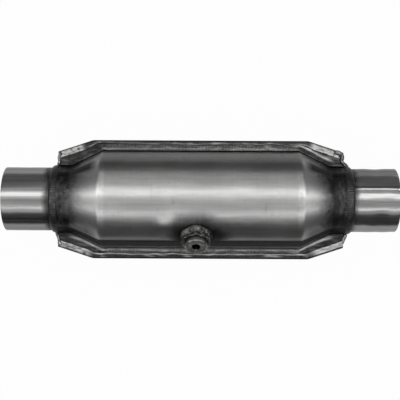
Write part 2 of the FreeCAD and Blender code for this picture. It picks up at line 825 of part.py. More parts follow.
outlet_brick = make_brick("outlet_brick")
bodies = [
    make_upper_shell(),
    make_lower_shell(),
    make_neck("inlet_neck", UPSTREAM),
    make_neck("outlet_neck"),
    make_neck_weld("inlet_neck_weld", UPSTREAM),
    make_neck_weld("outlet_neck_weld"),
    make_end_weld("inlet_left_end_weld", RIGHT, UPSTREAM),
    make_end_weld("inlet_right_end_weld", LEFT, UPSTREAM),
    make_end_weld("outlet_left_end_weld", LEFT),
    make_end_weld("outlet_right_end_weld", RIGHT),
    make_sensor_boss(),
    make_boss_weld(),
    make_gasket(),
    make_plug(),
    make_mat("inlet_mat", UPSTREAM),
    make_mat("outlet_mat"),
    make_seal("inlet_mat_front_seal", True, UPSTREAM),
    make_seal("inlet_mat_rear_seal", False, UPSTREAM),
    make_seal("outlet_mat_front_seal", False),
    make_seal("outlet_mat_rear_seal", True),
    outlet_brick,
    mirror_image("inlet_brick", outlet_brick),
]
write_parts(bodies)
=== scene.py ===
"""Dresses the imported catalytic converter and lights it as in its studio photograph."""
import logging
import math
from collections.abc import Callable
from dataclasses import dataclass, field
from enum import Enum
from functools import partial

import bmesh
import bpy
import numpy as np
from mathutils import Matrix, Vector, noise


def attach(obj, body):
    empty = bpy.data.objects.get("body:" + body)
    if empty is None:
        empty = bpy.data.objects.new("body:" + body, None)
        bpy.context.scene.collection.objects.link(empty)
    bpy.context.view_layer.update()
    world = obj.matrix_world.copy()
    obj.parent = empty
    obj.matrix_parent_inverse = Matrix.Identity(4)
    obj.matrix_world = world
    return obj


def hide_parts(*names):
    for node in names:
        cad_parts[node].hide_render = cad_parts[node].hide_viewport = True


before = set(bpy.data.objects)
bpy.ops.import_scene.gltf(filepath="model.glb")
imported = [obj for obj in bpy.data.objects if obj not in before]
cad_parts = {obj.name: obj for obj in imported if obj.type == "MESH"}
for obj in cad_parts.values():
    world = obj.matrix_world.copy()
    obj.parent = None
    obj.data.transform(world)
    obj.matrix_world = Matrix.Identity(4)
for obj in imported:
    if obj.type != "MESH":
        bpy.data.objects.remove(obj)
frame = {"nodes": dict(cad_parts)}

LOG = logging.getLogger("converter")
MM = 0.001
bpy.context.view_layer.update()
# All sizes are in millimetres and all angles in degrees unless a name says otherwise.
BODY_RADIUS = 50.8
# The sensor's axis: its place along X and its angle from Z towards -Y.
SENSOR_PLACE = -4.4
SENSOR_ANGLE = 50.0

Pair = tuple[float, float]
Triple = tuple[float, float, float]
Marked = list[tuple[Triple, dict[str, float]]]


class Word(Enum):
    """A choice that the names of nodes and pieces spell in small letters."""

    @property
    def word(self) -> str:
        """The choice as those names spell it."""
        return self.name.lower()


class Half(Word):
    """The two stamped half shells; the value turns a half drawn dome up into its place."""

    UPPER = 1
    LOWER = -1


class End(Word):
    """The two ends of the converter, by the sign of X."""

    INLET = -1
    OUTLET = 1


class Side(Word):
    """The two sides of the seam, by the sign of Y."""

    LEFT = 1
    RIGHT = -1


# ---------------------------------------------------------------- node trees


class Value:
    """A node socket whose arithmetic adds Math nodes."""

    def __init__(self, tree: "Tree", socket: bpy.types.NodeSocket) -> None:
        """Keep the socket and the tree that it belongs to."""
        self.tree = tree
        self.socket = socket

    def math(self, operation: str, *others: "Value | float") -> "Value":
        """One Math node on this value and others."""
        inputs = dict(enumerate((self, *others)))
        return self.tree.value("ShaderNodeMath", {"operation": operation}, inputs)

    def __add__(self, other: "Value | float") -> "Value":
        """This plus other."""
        return self.math("ADD", other)

    __radd__ = __add__

    def __mul__(self, other: "Value | float") -> "Value":
        """This times other."""
        return self.math("MULTIPLY", other)

    __rmul__ = __mul__

    def __sub__(self, other: "Value | float") -> "Value":
        """This less other."""
        return self.math("SUBTRACT", other)

    def __rsub__(self, other: float) -> "Value":
        """Other less this."""
        return self.math("MULTIPLY", -1.0).math("ADD", other)

    def __truediv__(self, other: "Value | float") -> "Value":
        """This over other."""
        return self.math("DIVIDE", other)

    def least(self, other: "Value | float") -> "Value":
        """The lesser of the two."""
        return self.math("MINIMUM", other)

    def most(self, other: "Value | float") -> "Value":
        """The greater of the two."""
        return self.math("MAXIMUM", other)

    def size(self) -> "Value":
        """Without its sign."""
        return self.math("ABSOLUTE")

    def ramp(self, low: float, high: float) -> "Value":
        """0 at low, 1 at high and a soft step between, either way round."""
        inputs = {"Value": self, 1: low, 2: high, 3: 0.0, 4: 1.0}
        if low > high:
            inputs = {"Value": self, 1: high, 2: low, 3: 1.0, 4: 0.0}
        settings = {"interpolation_type": "SMOOTHSTEP", "clamp": True}
        return self.tree.value("ShaderNodeMapRange", settings, inputs)


class Tree:
    """A node tree built in code."""

    def __init__(self, tree: bpy.types.NodeTree) -> None:
        """Keep the tree that the nodes go into."""
        self.tree = tree

    def node(self, kind: str, settings: dict, inputs: dict) -> bpy.types.Node:
        """Add a node.

        Args:
            kind: the node's type.
            settings: its properties, set first.
            inputs: values or links by the socket's name or index.

        Returns:
            The new node.
        """
        made = self.tree.nodes.new(kind)
        for name, setting in settings.items():
            setattr(made, name, setting)
        self.fill(made, inputs)
        return made

    def fill(self, node: bpy.types.Node, inputs: dict) -> None:
        """Set or link a node's sockets by name or index."""
        for name, given in inputs.items():
            if isinstance(given, Value):
                given = given.socket
            if isinstance(given, bpy.types.NodeSocket):
                self.tree.links.new(given, node.inputs[name])
            else:
                node.inputs[name].default_value = given

    def value(self, kind: str, settings: dict, inputs: dict, output: int | str = 0) -> Value:
        """Add a node and take one of its outputs."""
        return Value(self, self.node(kind, settings, inputs).outputs[output])


class Shader(Tree):
    """A material's node tree with a principled surface."""

    def __init__(self, name: str) -> None:
        """Start the material with its surface and its place on the object."""
        self.material = bpy.data.materials.new(name)
        self.material.use_nodes = True
        super().__init__(self.material.node_tree)
        self.tree.nodes.clear()
        self.surface = self.node("ShaderNodeBsdfPrincipled", {}, {})
        self.output = self.node("ShaderNodeOutputMaterial", {}, {0: self.surface.outputs[0]})
        self.place = self.node("ShaderNodeTexCoord", {}, {}).outputs["Object"]
        axes = self.node("ShaderNodeSeparateXYZ", {}, {0: self.place}).outputs
        self.x, self.y, self.z = (Value(self, each) * 1000.0 for each in axes)

    def beside_sensor(self) -> tuple[Value, Value]:
        """Millimetres from the sensor's axis, along X and across."""
        turn = math.radians(SENSOR_ANGLE)
        return self.x - SENSOR_PLACE, self.y * math.cos(turn) + self.z * math.sin(turn)

    def mapped(self, stretch: Triple, shift: float = 0.0) -> bpy.types.NodeSocket:
        """The object's place, moved and made finer along each axis."""
        inputs = {"Vector": self.place, "Location": (shift,) * 3, "Scale": stretch}
        return self.node("ShaderNodeMapping", {"vector_type": "POINT"}, inputs).outputs[0]

    def noise(
        self,
        scale: float,
        stretch: Triple = (1.0, 1.0, 1.0),
        detail: float = 4.0,
        roughness: float = 0.55,
        shift: float = 0.0,
    ) -> Value:
        """Noise over the object's place, about 0.5, with features of 1/scale metres.

        Args:
            scale: features per metre.
            stretch: how many times finer along each axis.
            detail: octaves.
            roughness: weight of the finer octaves.
            shift: moves the pattern, so that two of one scale differ.

        Returns:
            The noise value.
        """
        inputs = {"Vector": self.mapped(stretch, shift), "Scale": scale}
        inputs |= {"Detail": detail, "Roughness": roughness}
        return self.value("ShaderNodeTexNoise", {"noise_dimensions": "3D"}, inputs)

    def specks(self, scale: float, threshold: float, stretch: Triple = (1.0, 1.0, 1.0)) -> Value:
        """Small marks, longer where the stretch is low: 1 inside one, 0 elsewhere."""
        inputs = {"Vector": self.mapped(stretch), "Scale": scale, "Randomness": 1.0}
        away = self.value("ShaderNodeTexVoronoi", {"feature": "F1"}, inputs, "Distance")
        return away.ramp(threshold, threshold * 0.5)

    def attribute(self, name: str) -> Value:
        """A number kept on the piece's points."""
        return self.value("ShaderNodeAttribute", {"attribute_name": name}, {}, "Fac")

    def mix(self, factor: Value | float, first: object, second: object) -> object:
        """A colour between two, each a colour or a socket."""
        settings = {"data_type": "RGBA", "clamp_factor": True}
        inputs = {0: factor, 6: colour(first), 7: colour(second)}
        return self.node("ShaderNodeMix", settings, inputs).outputs[2]

    def bump(self, height: Value, millimetres: float, under: object = None) -> object:
        """A bumped normal.

        Args:
            height: from 0 to 1.
            millimetres: what 1 stands for.
            under: a normal that is bumped further.

        Returns:
            The normal's socket.
        """
        inputs = {"Strength": 1.0, "Distance": millimetres * MM, "Height": height}
        if under is not None:
            inputs["Normal"] = under
        return self.node("ShaderNodeBump", {}, inputs).outputs[0]

    def finish(self, **sockets: object) -> bpy.types.Material:
        """Set the surface's sockets by name, with underscores for spaces."""
        self.fill(self.surface, {name.replace("_", " "): each for name, each in sockets.items()})
        return self.material


def colour(given: object) -> object:
    """Three numbers with an alpha, or whatever else as it is."""
    return (*given, 1.0) if isinstance(given, tuple) and len(given) == 3 else given


# ---------------------------------------------------------------- finishes


@dataclass(frozen=True)
class StampedSteel:
    """Stainless sheet drawn along X with fine lines, with weld tint and oxide, painted shade
    beside the flanges, on the cones and round the boss, and painted highlights on the shoulders
    and cones.
    """

    bright: Triple = (0.45, 0.45, 0.447)
    dull: Triple = (0.36, 0.36, 0.357)
    oxide: Triple = (0.020, 0.020, 0.0195)
    painted_highlight: Triple = (0.62, 0.62, 0.616)
    shadow: Triple = (0.004, 0.004, 0.004)
    throat: float = 131.0
    outlet_more: float = 4.0
    side_shade_reach: float = 5.0
    left_shade_reach: float = 3.0
    halo_reach: float = 36.0
    halo_squash: float = 0.62
    halo_waver: float = 16.0
    shoulder: float = 99.5
    darkest: float = 0.985

    def boss_halo(self, shader: Shader) -> Value:
        """The dark halo round the sensor's axis, from 0 to 1: weld tint with painted shade of the
        boss.
        """
        along, across = shader.beside_sensor()
        turn = math.radians(SENSOR_ANGLE)
        up = shader.z * math.cos(turn) - shader.y * math.sin(turn)
        away = (along * along * self.halo_squash + across * across).math("SQRT")
        waver = (shader.noise(45.0, detail=3.0) - 0.5) * self.halo_waver
        near = (away + waver).ramp(self.halo_reach, self.halo_reach * 0.42)
        return near * up.ramp(0.0, 10.0)

    def tint_and_shade_reach(self, shader: Shader, waver: Value) -> Value:
        """Millimetres along X as the dark edge of the weld tint counts them, carried further in
        on the sides and on +Y as painted shade.
        """
        reach = shader.x.size() + waver + shader.x.ramp(-60.0, 60.0) * self.outlet_more
        reach = reach + shader.y.size().ramp(12.0, 30.0) * self.side_shade_reach
        return reach + shader.y.ramp(8.0, 26.0) * self.left_shade_reach

    def bare_sheet(self, shader: Shader, grain: Value, blotches: Value) -> object:
        """The clean sheet's colour, lighter in painted highlights on the shoulders' tops and on
        the cones.
        """
        along = shader.x.size()
        # Painted highlight on the tops of the shoulders.
        shoulder_highlight = (along - self.shoulder).size().ramp(4.0, 1.0) * blotches.ramp(0.3, 0.6)
        shoulder_highlight = shoulder_highlight * shader.z.size().ramp(34.0, 44.0) * 0.5
        # Painted highlight on the cones.
        drawn = along.ramp(126.0, 104.0) * along.ramp(99.0, 103.0) * 0.65
        base = shader.mix(grain.ramp(0.35, 0.65), self.dull, self.bright)
        return shader.mix(shoulder_highlight.most(drawn), base, self.painted_highlight)

    def build(self, name: str) -> bpy.types.Material:
        """The material of a half shell, which reads the marks on its points."""
        shader = Shader(name)
        along = shader.x.size()
        marks = ("crease", "hem", "flange", "shine", "bare")
        crease, hem, flange, shine, bare = (shader.attribute(each) for each in marks)
        streaks = shader.noise(330.0, (0.05, 1.0, 1.0), 3.0)
        fine = shader.noise(2300.0, (0.03, 1.0, 1.0), 2.0, shift=0.3)
        clouds = shader.noise(38.0, (0.6, 1.0, 1.0), 4.0, 0.6)
        blotches = shader.noise(120.0, detail=5.0, roughness=0.65)
        scars = shader.noise(420.0, (0.4, 1.0, 1.0), 4.0, 0.7, 0.6)
        wash = shader.noise(190.0, (1.5, 0.8, 0.8), 4.0, 0.6, 0.9)

        # Weld tint towards the throats, with painted shade on the cones' sides.
        reach = self.tint_and_shade_reach(shader, (blotches - 0.5) * 12.0 + (clouds - 0.5) * 22.0)
        throat = reach.ramp(self.throat - 15.0, self.throat + 10.0)
        collar = along.ramp(self.throat + 7.0, self.throat + 11.0)
        weld_tint_and_shade = throat * (0.89 + blotches * 0.14) - collar * wash.ramp(0.40, 0.62) * 0.10
        # Weld tint and painted shade round the sensor boss.
        halo = self.boss_halo(shader)
        # Oxide on the hems, with the painted shade low on the dome and on the cones.
        hem_oxide_and_shade = ((hem - bare) * (0.88 + scars * 0.12) + crease * self.darkest).least(1.0)
        ripple = (shader.x * 4.2 + blotches * 14.0).math("SINE") * 0.5 + 0.5
        groove = flange * along.ramp(126.0, 100.0) * (0.58 + ripple * 0.26 + scars * 0.16)
        # Flanges darker towards the ends; in the bends near the ends this is painted shade.
        end_darkening = flange * along.ramp(88.0, 103.0) * (0.80 + blotches * 0.3)
        plain = reach.ramp(121.0, 111.0) * 0.45
        pitted = scars.ramp(0.45, 0.68) * 0.75 + blotches.ramp(0.4, 0.7) * 0.35 + plain
        stain = flange * blotches.ramp(0.42, 0.62) * 0.5
        dark = weld_tint_and_shade * (1.0 - hem * 0.85)
        for other in (halo * 0.96, hem_oxide_and_shade, bare * pitted.least(1.0), groove, stain, end_darkening):
            dark = dark.most(other)

        specks = shader.specks(210.0, 0.085) * clouds.ramp(0.46, 0.6)
        nicks = shader.specks(260.0, 0.10, (0.35, 1.0, 1.0)) * streaks.ramp(0.46, 0.56)
        smears = shader.noise(160.0, (1.0, 0.35, 0.35), 4.0, shift=0.7).ramp(0.6, 0.76)
        rings = shader.noise(330.0, (1.0, 0.08, 0.08), 2.0, shift=0.5).ramp(0.5, 0.75)
        spots = specks * 0.6 + nicks * 0.5 + smears * 0.16 + rings * 0.04
        dark = (dark + spots).least(self.darkest)
        # Shine lightens the lips' edges and the ridges as a painted highlight.
        dark = (dark * (1.0 - shine * 0.9)).most(0.0)

        base = self.bare_sheet(shader, clouds * 0.6 + streaks * 0.4, blotches)
        # The oxide colour also carries the painted shade.
        base = shader.mix(dark, base, self.oxide)
        # The painted shade turns black where it is strongest.
        base = shader.mix(crease.ramp(0.86, 1.0), base, self.shadow)
        rough = 0.255 + clouds * 0.05 + streaks * 0.03 + dark * 0.13 + halo * 0.04
        dents = shader.bump(clouds, 0.20)
        pressed = shader.bump(blotches * (0.25 + dark), 0.10, dents)
        lines = shader.bump(streaks * 0.7 + fine * 0.3, 0.008, pressed)
        folds = groove + crease.ramp(0.94, 1.0) * 0.5
        normal = shader.bump(ripple * folds, 0.36, lines)
        return shader.finish(Base_Color=base, Metallic=1.0, Roughness=rough, Normal=normal)


@dataclass(frozen=True)
class TubeSteel:
    """Bright rolled tube with fine lines along it, a tint beside the weld and painted shade along
    its sides.
    """

    bright: Triple = (0.44, 0.44, 0.437)
    dull: Triple = (0.28, 0.28, 0.278)
    tint: Triple = (0.05, 0.049, 0.048)
    weld_edge: float = 154.0
    tint_reach: float = 9.0

    def build(self, name: str) -> bpy.types.Material:
        """The material of both necks, which reads their seam attribute."""
        shader = Shader(name)
        along = shader.x.size()
        lines = shader.noise(620.0, (0.02, 1.0, 1.0), 3.0)
        bands = shader.noise(150.0, (0.03, 1.0, 1.0), 3.0, shift=0.4)
        clouds = shader.noise(60.0, detail=4.0)
        wander = (clouds - 0.5) * 10.0
        tint = (along + wander).ramp(self.weld_edge + self.tint_reach, self.weld_edge + 1.0)
        inside = (shader.y * shader.y + shader.z * shader.z).math("SQRT").ramp(32.6, 32.2)
        seam = shader.attribute("seam")
        dashes = shader.noise(90.0, (3.0, 0.2, 0.2), 2.0).ramp(0.38, 0.6)
        scuffs = shader.specks(260.0, 0.07) * clouds.ramp(0.5, 0.62)
        dark = (tint * 0.94).most(seam * (0.72 + dashes * 0.28))
        # Painted shade along the tube's sides, stronger on the outlet's +Y side.
        shade = shader.y.size().ramp(24.0, 31.0) * 0.30
        shade = shade + shader.y.ramp(22.0, 30.0) * shader.x.ramp(0.0, 10.0) * 0.30
        dark = (dark + scuffs * 0.35 + inside * 0.30 + shade).least(0.95)
        base = shader.mix((bands * 0.7 + lines * 0.3).ramp(0.36, 0.62), self.dull, self.bright)
        # The tint colour also carries the painted shade.
        base = shader.mix(dark, base, self.tint)
        rough = 0.15 + bands * 0.06 + clouds * 0.03 + dark * 0.16 + inside * 0.15
        waves = shader.bump(bands, 0.05)
        normal = shader.bump(lines, 0.010, waves)
        return shader.finish(Base_Color=base, Metallic=1.0, Roughness=rough, Normal=normal)


@dataclass(frozen=True)
class WeldSteel:
    """Oxidised weld metal with brighter crests."""

    crest: Triple = (0.34, 0.338, 0.335)
    oxide: Triple = (0.058, 0.0575, 0.057)
    roughness: float = 0.30
    patchiness: float = 0.12

    def build(self, name: str) -> bpy.types.Material:
        """The material of every bead, which reads how bright each place is left."""
        shader = Shader(name)
        blotches = shader.noise(210.0, detail=5.0, roughness=0.6)
        grains = shader.noise(900.0, detail=3.0, shift=0.2)
        lit = shader.attribute("crest")
        shine = (blotches.ramp(0.48, 0.66) * self.patchiness + lit).least(1.0)
        base = shader.mix(shine, self.oxide, self.crest)
        pits = shader.specks(420.0, 0.10) * blotches.ramp(0.5, 0.6)
        base = shader.mix(pits * 0.7, base, (0.02, 0.02, 0.02))
        rough = self.roughness + blotches * 0.14 - shine * 0.10
        lumps = shader.bump(blotches - pits * 0.5, 0.22)
        normal = shader.bump(grains, 0.03, lumps)
        return shader.finish(Base_Color=base, Metallic=1.0, Roughness=rough, Normal=normal)


@dataclass(frozen=True)
class TurnedSteel:
    """Machined steel with turning marks about the sensor's axis, some oxide and, on the plug, a
    socket painted black as shade.
    """

    bright: Triple
    dark: Triple
    roughness: float = 0.3
    oxide_share: float = 0.5
    shaded_socket: float = 0.0

    def build(self, name: str) -> bpy.types.Material:
        """The material of the boss, its plug or the gasket."""
        shader = Shader(name)
        along, across = shader.beside_sensor()
        radius = (along * along + across * across).math("SQRT")
        blotches = shader.noise(240.0, detail=5.0, roughness=0.6)
        rings = ((radius * 15.0 + blotches * 2.0).math("SINE") * 0.5) + 0.5
        worn = blotches.ramp(0.5 + (self.oxide_share - 0.5) * 0.5, 0.64)
        base = shader.mix(worn * 0.85 + rings * 0.10, self.dark, self.bright)
        # Painted shade: black inside the plug's socket.
        bore = radius.ramp(self.shaded_socket + 0.1, self.shaded_socket - 0.3)
        base = shader.mix(bore * 0.97, base, (0.004, 0.004, 0.004))
        rough = self.roughness + blotches * 0.14
        turned = shader.bump(rings, 0.012)
        normal = shader.bump(blotches, 0.09, turned)
        return shader.finish(Base_Color=base, Metallic=1.0, Roughness=rough, Normal=normal)


@dataclass(frozen=True)
class BrickCeramic:
    """Coated cordierite: a dull grey brown wash coat."""

    pale: Triple = (0.50, 0.45, 0.37)
    deep: Triple = (0.30, 0.26, 0.21)

    def build(self, name: str) -> bpy.types.Material:
        """The material of a brick's plates and skin."""
        shader = Shader(name)
        clouds = shader.noise(70.0, detail=5.0)
        grains = shader.noise(1500.0, detail=3.0)
        base = shader.mix(clouds.ramp(0.35, 0.65), self.deep, self.pale)
        normal = shader.bump(grains, 0.05)
        rough = 0.78 + grains * 0.15
        return shader.finish(Base_Color=base, Metallic=0.0, Roughness=rough, Normal=normal)


@dataclass(frozen=True)
class MatFibre:
    """Swelling mat: pale felted fibre with flakes of vermiculite."""

    fibre: Triple = (0.66, 0.62, 0.54)
    flake: Triple = (0.42, 0.31, 0.17)

    def build(self, name: str) -> bpy.types.Material:
        """The material of both mats."""
        shader = Shader(name)
        felt = shader.noise(900.0, (1.0, 0.5, 0.5), 6.0, 0.7)
        flakes = shader.specks(520.0, 0.34)
        shaded = tuple(0.7 * each for each in self.fibre)
        base = shader.mix(felt.ramp(0.3, 0.7), shaded, self.fibre)
        base = shader.mix(flakes * 0.8, base, self.flake)
        normal = shader.bump(felt, 0.35)
        rough = 0.92 - flakes * 0.3
        return shader.finish(Base_Color=base, Metallic=0.0, Roughness=rough, Normal=normal)


@dataclass(frozen=True)
class SealWire:
    """Knitted stainless wire pressed into a ring."""

    wire: Triple = (0.55, 0.54, 0.52)
    gap: Triple = (0.05, 0.05, 0.05)

    def build(self, name: str) -> bpy.types.Material:
        """The material of the four seals."""
        shader = Shader(name)
        waves = []
        for way, scale, distortion in (("DIAGONAL", 420.0, 5.0), ("X", 300.0, 7.0)):
            settings = {"wave_type": "BANDS", "bands_direction": way}
            inputs = {"Vector": shader.place, "Scale": scale, "Detail": 2.0}
            inputs["Distortion"] = distortion
            waves.append(shader.value("ShaderNodeTexWave", settings, inputs, 1))
        knit = waves[0].most(waves[1])
        base = shader.mix(knit.ramp(0.45, 0.8), self.gap, self.wire)
        normal = shader.bump(knit, 0.25)
        return shader.finish(Base_Color=base, Metallic=0.9, Roughness=0.42, Normal=normal)


@dataclass(frozen=True)
class PaperFloor:
    """Matt white paper, lifted for what looks at it so that it keeps a light shadow."""

    paper: float = 0.50
    lift: float = 0.975
    mirrored: float = 0.30

    def build(self, name: str) -> bpy.types.Material:
        """The material of the floor."""
        shader = Shader(name)
        grain = shader.noise(700.0, detail=3.0)
        base = shader.mix(grain.ramp(0.3, 0.7), (self.paper - 0.01,) * 3, (self.paper,) * 3)
        shader.finish(Base_Color=base, Roughness=0.9, Specular_IOR_Level=0.0)
        rays = shader.node("ShaderNodeLightPath", {}, {}).outputs
        seen = Value(shader, rays["Is Camera Ray"]) * self.lift
        for each in ("Is Glossy Ray", "Is Transmission Ray"):
            seen = seen + Value(shader, rays[each]) * self.mirrored
        white = {"Color": (1.0, 1.0, 1.0, 1.0), "Strength": 1.0}
        glow = shader.node("ShaderNodeEmission", {}, white).outputs[0]
        inputs = {0: seen, 1: shader.surface.outputs[0], 2: glow}
        mixed = shader.node("ShaderNodeMixShader", {}, inputs).outputs[0]
        shader.fill(shader.output, {0: mixed})
        return shader.material


FINISHES = {
    "shell_steel": StampedSteel(),
    "neck_steel": TubeSteel(),
    "weld_steel": WeldSteel(),
    "bead_steel": WeldSteel(
        crest=(0.50, 0.495, 0.49), oxide=(0.05, 0.0495, 0.049), roughness=0.28, patchiness=0.35
    ),
    "boss_weld_steel": WeldSteel(
        crest=(0.30, 0.299, 0.297), oxide=(0.018, 0.0178, 0.0175), roughness=0.34, patchiness=0.04
    ),
    "boss_steel": TurnedSteel(
        bright=(0.34, 0.335, 0.33), dark=(0.075, 0.073, 0.07), oxide_share=0.55
    ),
    "plug_steel": TurnedSteel(
        bright=(0.46, 0.455, 0.45), dark=(0.20, 0.198, 0.195), roughness=0.34, shaded_socket=4.6
    ),
    "gasket_steel": TurnedSteel(
        bright=(0.14, 0.138, 0.135), dark=(0.04, 0.039, 0.038), roughness=0.4, oxide_share=0.4
    ),
    "brick_ceramic": BrickCeramic(),
    "mat_fibre": MatFibre(),
    "seal_wire": SealWire(),
}


# ---------------------------------------------------------------- mesh helpers


def smooth_noise(x: float, y: float, z: float, size: float) -> float:
    """Soft noise from -1 to 1 over millimetres, with lumps of about this size."""
    return noise.noise(Vector((x / size + 31.7, y / size + 11.3, z / size + 5.9)))


def soft_step(value: np.ndarray | float, low: float, high: float) -> np.ndarray | float:
    """0 at low, 1 at high and smooth between, either way round."""
    share = np.clip((np.asarray(value, float) - low) / (high - low), 0.0, 1.0)
    return share * share * (3.0 - 2.0 * share)


def bell(away: float, reach: float) -> float:
    """1 in the middle, falling softly to almost nothing at twice the reach."""
    return math.exp(-((away / reach) ** 2))


def outward(mesh: bpy.types.Mesh, sharp: float, merge: float = 0.0) -> None:
    """Turn a closed mesh's faces outwards and shade it smooth.

    Args:
        mesh: what is shaded.
        sharp: edges that turn more than this, in degrees, stay sharp.
        merge: points nearer than this, in metres, become one.
    """
    shaped = bmesh.new()
    shaped.from_mesh(mesh)
    if merge:
        bmesh.ops.remove_doubles(shaped, verts=shaped.verts, dist=merge)
    bmesh.ops.recalc_face_normals(shaped, faces=shaped.faces)
    shaped.to_mesh(mesh)
    shaped.free()
    mesh.shade_smooth()
    mesh.set_sharp_from_angle(angle=math.radians(sharp))


def link_object(name: str, data: bpy.types.ID) -> bpy.types.Object:
    """A new object of the scene that holds this mesh, lamp or camera."""
    made = bpy.data.objects.new(name, data)
    bpy.context.scene.collection.objects.link(made)
    return made


def keep_result(piece: bpy.types.Object, modifier: bpy.types.Modifier) -> None:
    """Make what a modifier gives the piece's own plain mesh."""
    seen = piece.evaluated_get(bpy.context.evaluated_depsgraph_get())
    mesh = bpy.data.meshes.new_from_object(seen)
    piece.modifiers.remove(modifier)
    piece.data = mesh


def mesh_object(
    name: str,
    points: np.ndarray,
    faces: list[tuple[int, ...]],
    material: bpy.types.Material,
    sharp: float = 38.0,
    marks: dict[str, np.ndarray] | None = None,
) -> bpy.types.Object:
    """A finished piece from points in millimetres.

    Args:
        name: the piece's name.
        points: one row for each point.
        faces: point indices of each face.
        material: its finish.
        sharp: edges that turn more than this, in degrees, stay sharp.
        marks: numbers kept on the points for the material, by name.

    Returns:
        The object, with its normals outwards.
    """
    mesh = bpy.data.meshes.new(name)
    mesh.from_pydata((points * MM).tolist(), [], faces)
    for mark, numbers in (marks or {}).items():
        mesh.attributes.new(mark, "FLOAT", "POINT").data.foreach_set("value", numbers.ravel())
    outward(mesh, sharp, 0.002 * MM)
    mesh.materials.append(material)
    return link_object(name, mesh)


def grid_faces(rows: int, columns: int, round_rows: bool, round_columns: bool) -> list[tuple]:
    """Quads of a grid of points, closed along its rows or columns where asked."""
    faces = []
    for row in range(rows if round_rows else rows - 1):
        here, below = row * columns, (row + 1) % rows * columns
        for column in range(columns if round_columns else columns - 1):
            right = (column + 1) % columns
            faces.append((here + column, here + right, below + right, below + column))
    return faces


def capped_faces(rings: int, around: int) -> list[tuple]:
    """Faces of a tube of rings that is closed at both ends."""
    last = (rings - 1) * around
    faces = grid_faces(rings, around, False, True)
    return faces + [tuple(range(around))[::-1], tuple(range(last, last + around))]


def always(number: float) -> Callable[..., float]:
    """A function that gives one number, whatever it is asked."""
    return lambda *_: number


def ring(
    around: int,
    radius_of: Callable[[float], float],
    height_of: Callable[[float, float], float],
    shift: float = 0.5,
) -> list[Triple]:
    """Points round Z.

    Args:
        around: how many points.
        radius_of: the radius at an angle.
        height_of: the height over X and Y.
        shift: steps that the first point is turned by.

    Returns:
        The points in order.
    """
    found = []
    for step in range(around):
        angle = 2 * math.pi * (step + shift) / around
        radius = radius_of(angle)
        x, y = radius * math.cos(angle), radius * math.sin(angle)
        found.append((x, y, height_of(x, y)))
    return found


def stand(points: np.ndarray) -> np.ndarray:
    """Turn points drawn round Z onto the sensor's axis."""
    turn = math.radians(SENSOR_ANGLE)
    x, y, z = points.T
    across = y * math.cos(turn) - z * math.sin(turn)
    high = y * math.sin(turn) + z * math.cos(turn)
    return np.stack([x + SENSOR_PLACE, across, high], axis=1)


def seat(piece: bpy.types.Object, slot: str, *nodes: str) -> None:
    """Let a piece ride on the body and stand for the nodes that it replaces."""
    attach(piece, "root")
    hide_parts(*nodes)
    LOG.info("%s: %d faces", piece.name, len(piece.data.polygons))


class GeometryTree(Tree):
    """A geometry node tree that grows a piece from named sizes."""

    def __init__(self, name: str, *sizes: str) -> None:
        """Start a tree with a geometry output and inputs for the sizes and the material."""
        super().__init__(bpy.data.node_groups.new(name, "GeometryNodeTree"))
        sockets = dict.fromkeys(sizes, "NodeSocketFloat") | {"Material": "NodeSocketMaterial"}
        interface = self.tree.interface
        interface.new_socket("Geometry", in_out="OUTPUT", socket_type="NodeSocketGeometry")
        for each, kind in sockets.items():
            interface.new_socket(each, in_out="INPUT", socket_type=kind)
        outputs = self.tree.nodes.new("NodeGroupInput").outputs
        self.given = {each: Value(self, outputs[each]) for each in sockets}

    def place(self) -> list[Value]:
        """X, Y and Z of each point."""
        place = self.value("GeometryNodeInputPosition", {}, {})
        axes = self.node("ShaderNodeSeparateXYZ", {}, {0: place}).outputs
        return [Value(self, each) for each in axes]

    def vector(self, *numbers: Value | float) -> Value:
        """A vector of up to three numbers; those left out are 0."""
        return self.value("ShaderNodeCombineXYZ", {}, dict(enumerate(numbers)))

    def end(self, geometry: Value) -> None:
        """Realise what is instanced, set its material and finish the tree."""
        solid = self.value("GeometryNodeRealizeInstances", {}, {0: geometry})
        inputs = {"Geometry": solid, "Material": self.given["Material"]}
        self.node("NodeGroupOutput", {}, {0: self.value("GeometryNodeSetMaterial", {}, inputs)})

    def grow(
        self, name: str, material: bpy.types.Material, sizes: dict[str, float], sharp: float
    ) -> bpy.types.Object:
        """Run the tree and keep its result as a plain mesh.

        Args:
            name: the piece's name.
            material: its finish.
            sizes: the inputs' values by name, lengths in metres.
            sharp: edges that turn more than this, in degrees, stay sharp.

        Returns:
            The piece.
        """
        piece = link_object(name, bpy.data.meshes.new(name))
        modifier = piece.modifiers.new("form", "NODES")
        modifier.node_group = self.tree
        given = sizes | {"Material": material}
        for item in self.tree.interface.items_tree:
            if item.in_out == "INPUT":
                modifier[item.identifier] = given[item.name]
        keep_result(piece, modifier)
        outward(piece.data, sharp)
        return piece


# ---------------------------------------------------------------- the half shells


# Bumps and dents of the upper half: place along X, angle from Z to +Y, reach and height.
BUMPS = (
    (-35.0, -31.5, 8.5, 1.5),
    (-26.0, -20.0, 12.0, -0.30),
    (22.0, -26.0, 12.0, 0.22),
    (-60.0, 8.0, 18.0, -0.10),
    (70.0, 12.0, 14.0, 0.10),
)


@dataclass(frozen=True)
class Corner:
    """How one slanting flange and its lip are pressed, in millimetres.

    Args:
        ridge_out: from the foot to the pressed ridge, at its start and end along X.
        ridge_width: the ridge's inner and outer flank.
        ridge_height: the ridge over the flat sheet.
        ridge_highlight: how bright the ridge's painted highlight is.
        lip_bare: X where the rolled lip starts to lie open and bare, and X where it does.
        lip_slope: how steeply the open lip leans.
    """

    ridge_out: Pair
    ridge_width: Pair
    ridge_height: float
    ridge_highlight: float
    lip_bare: Pair
    lip_slope: float


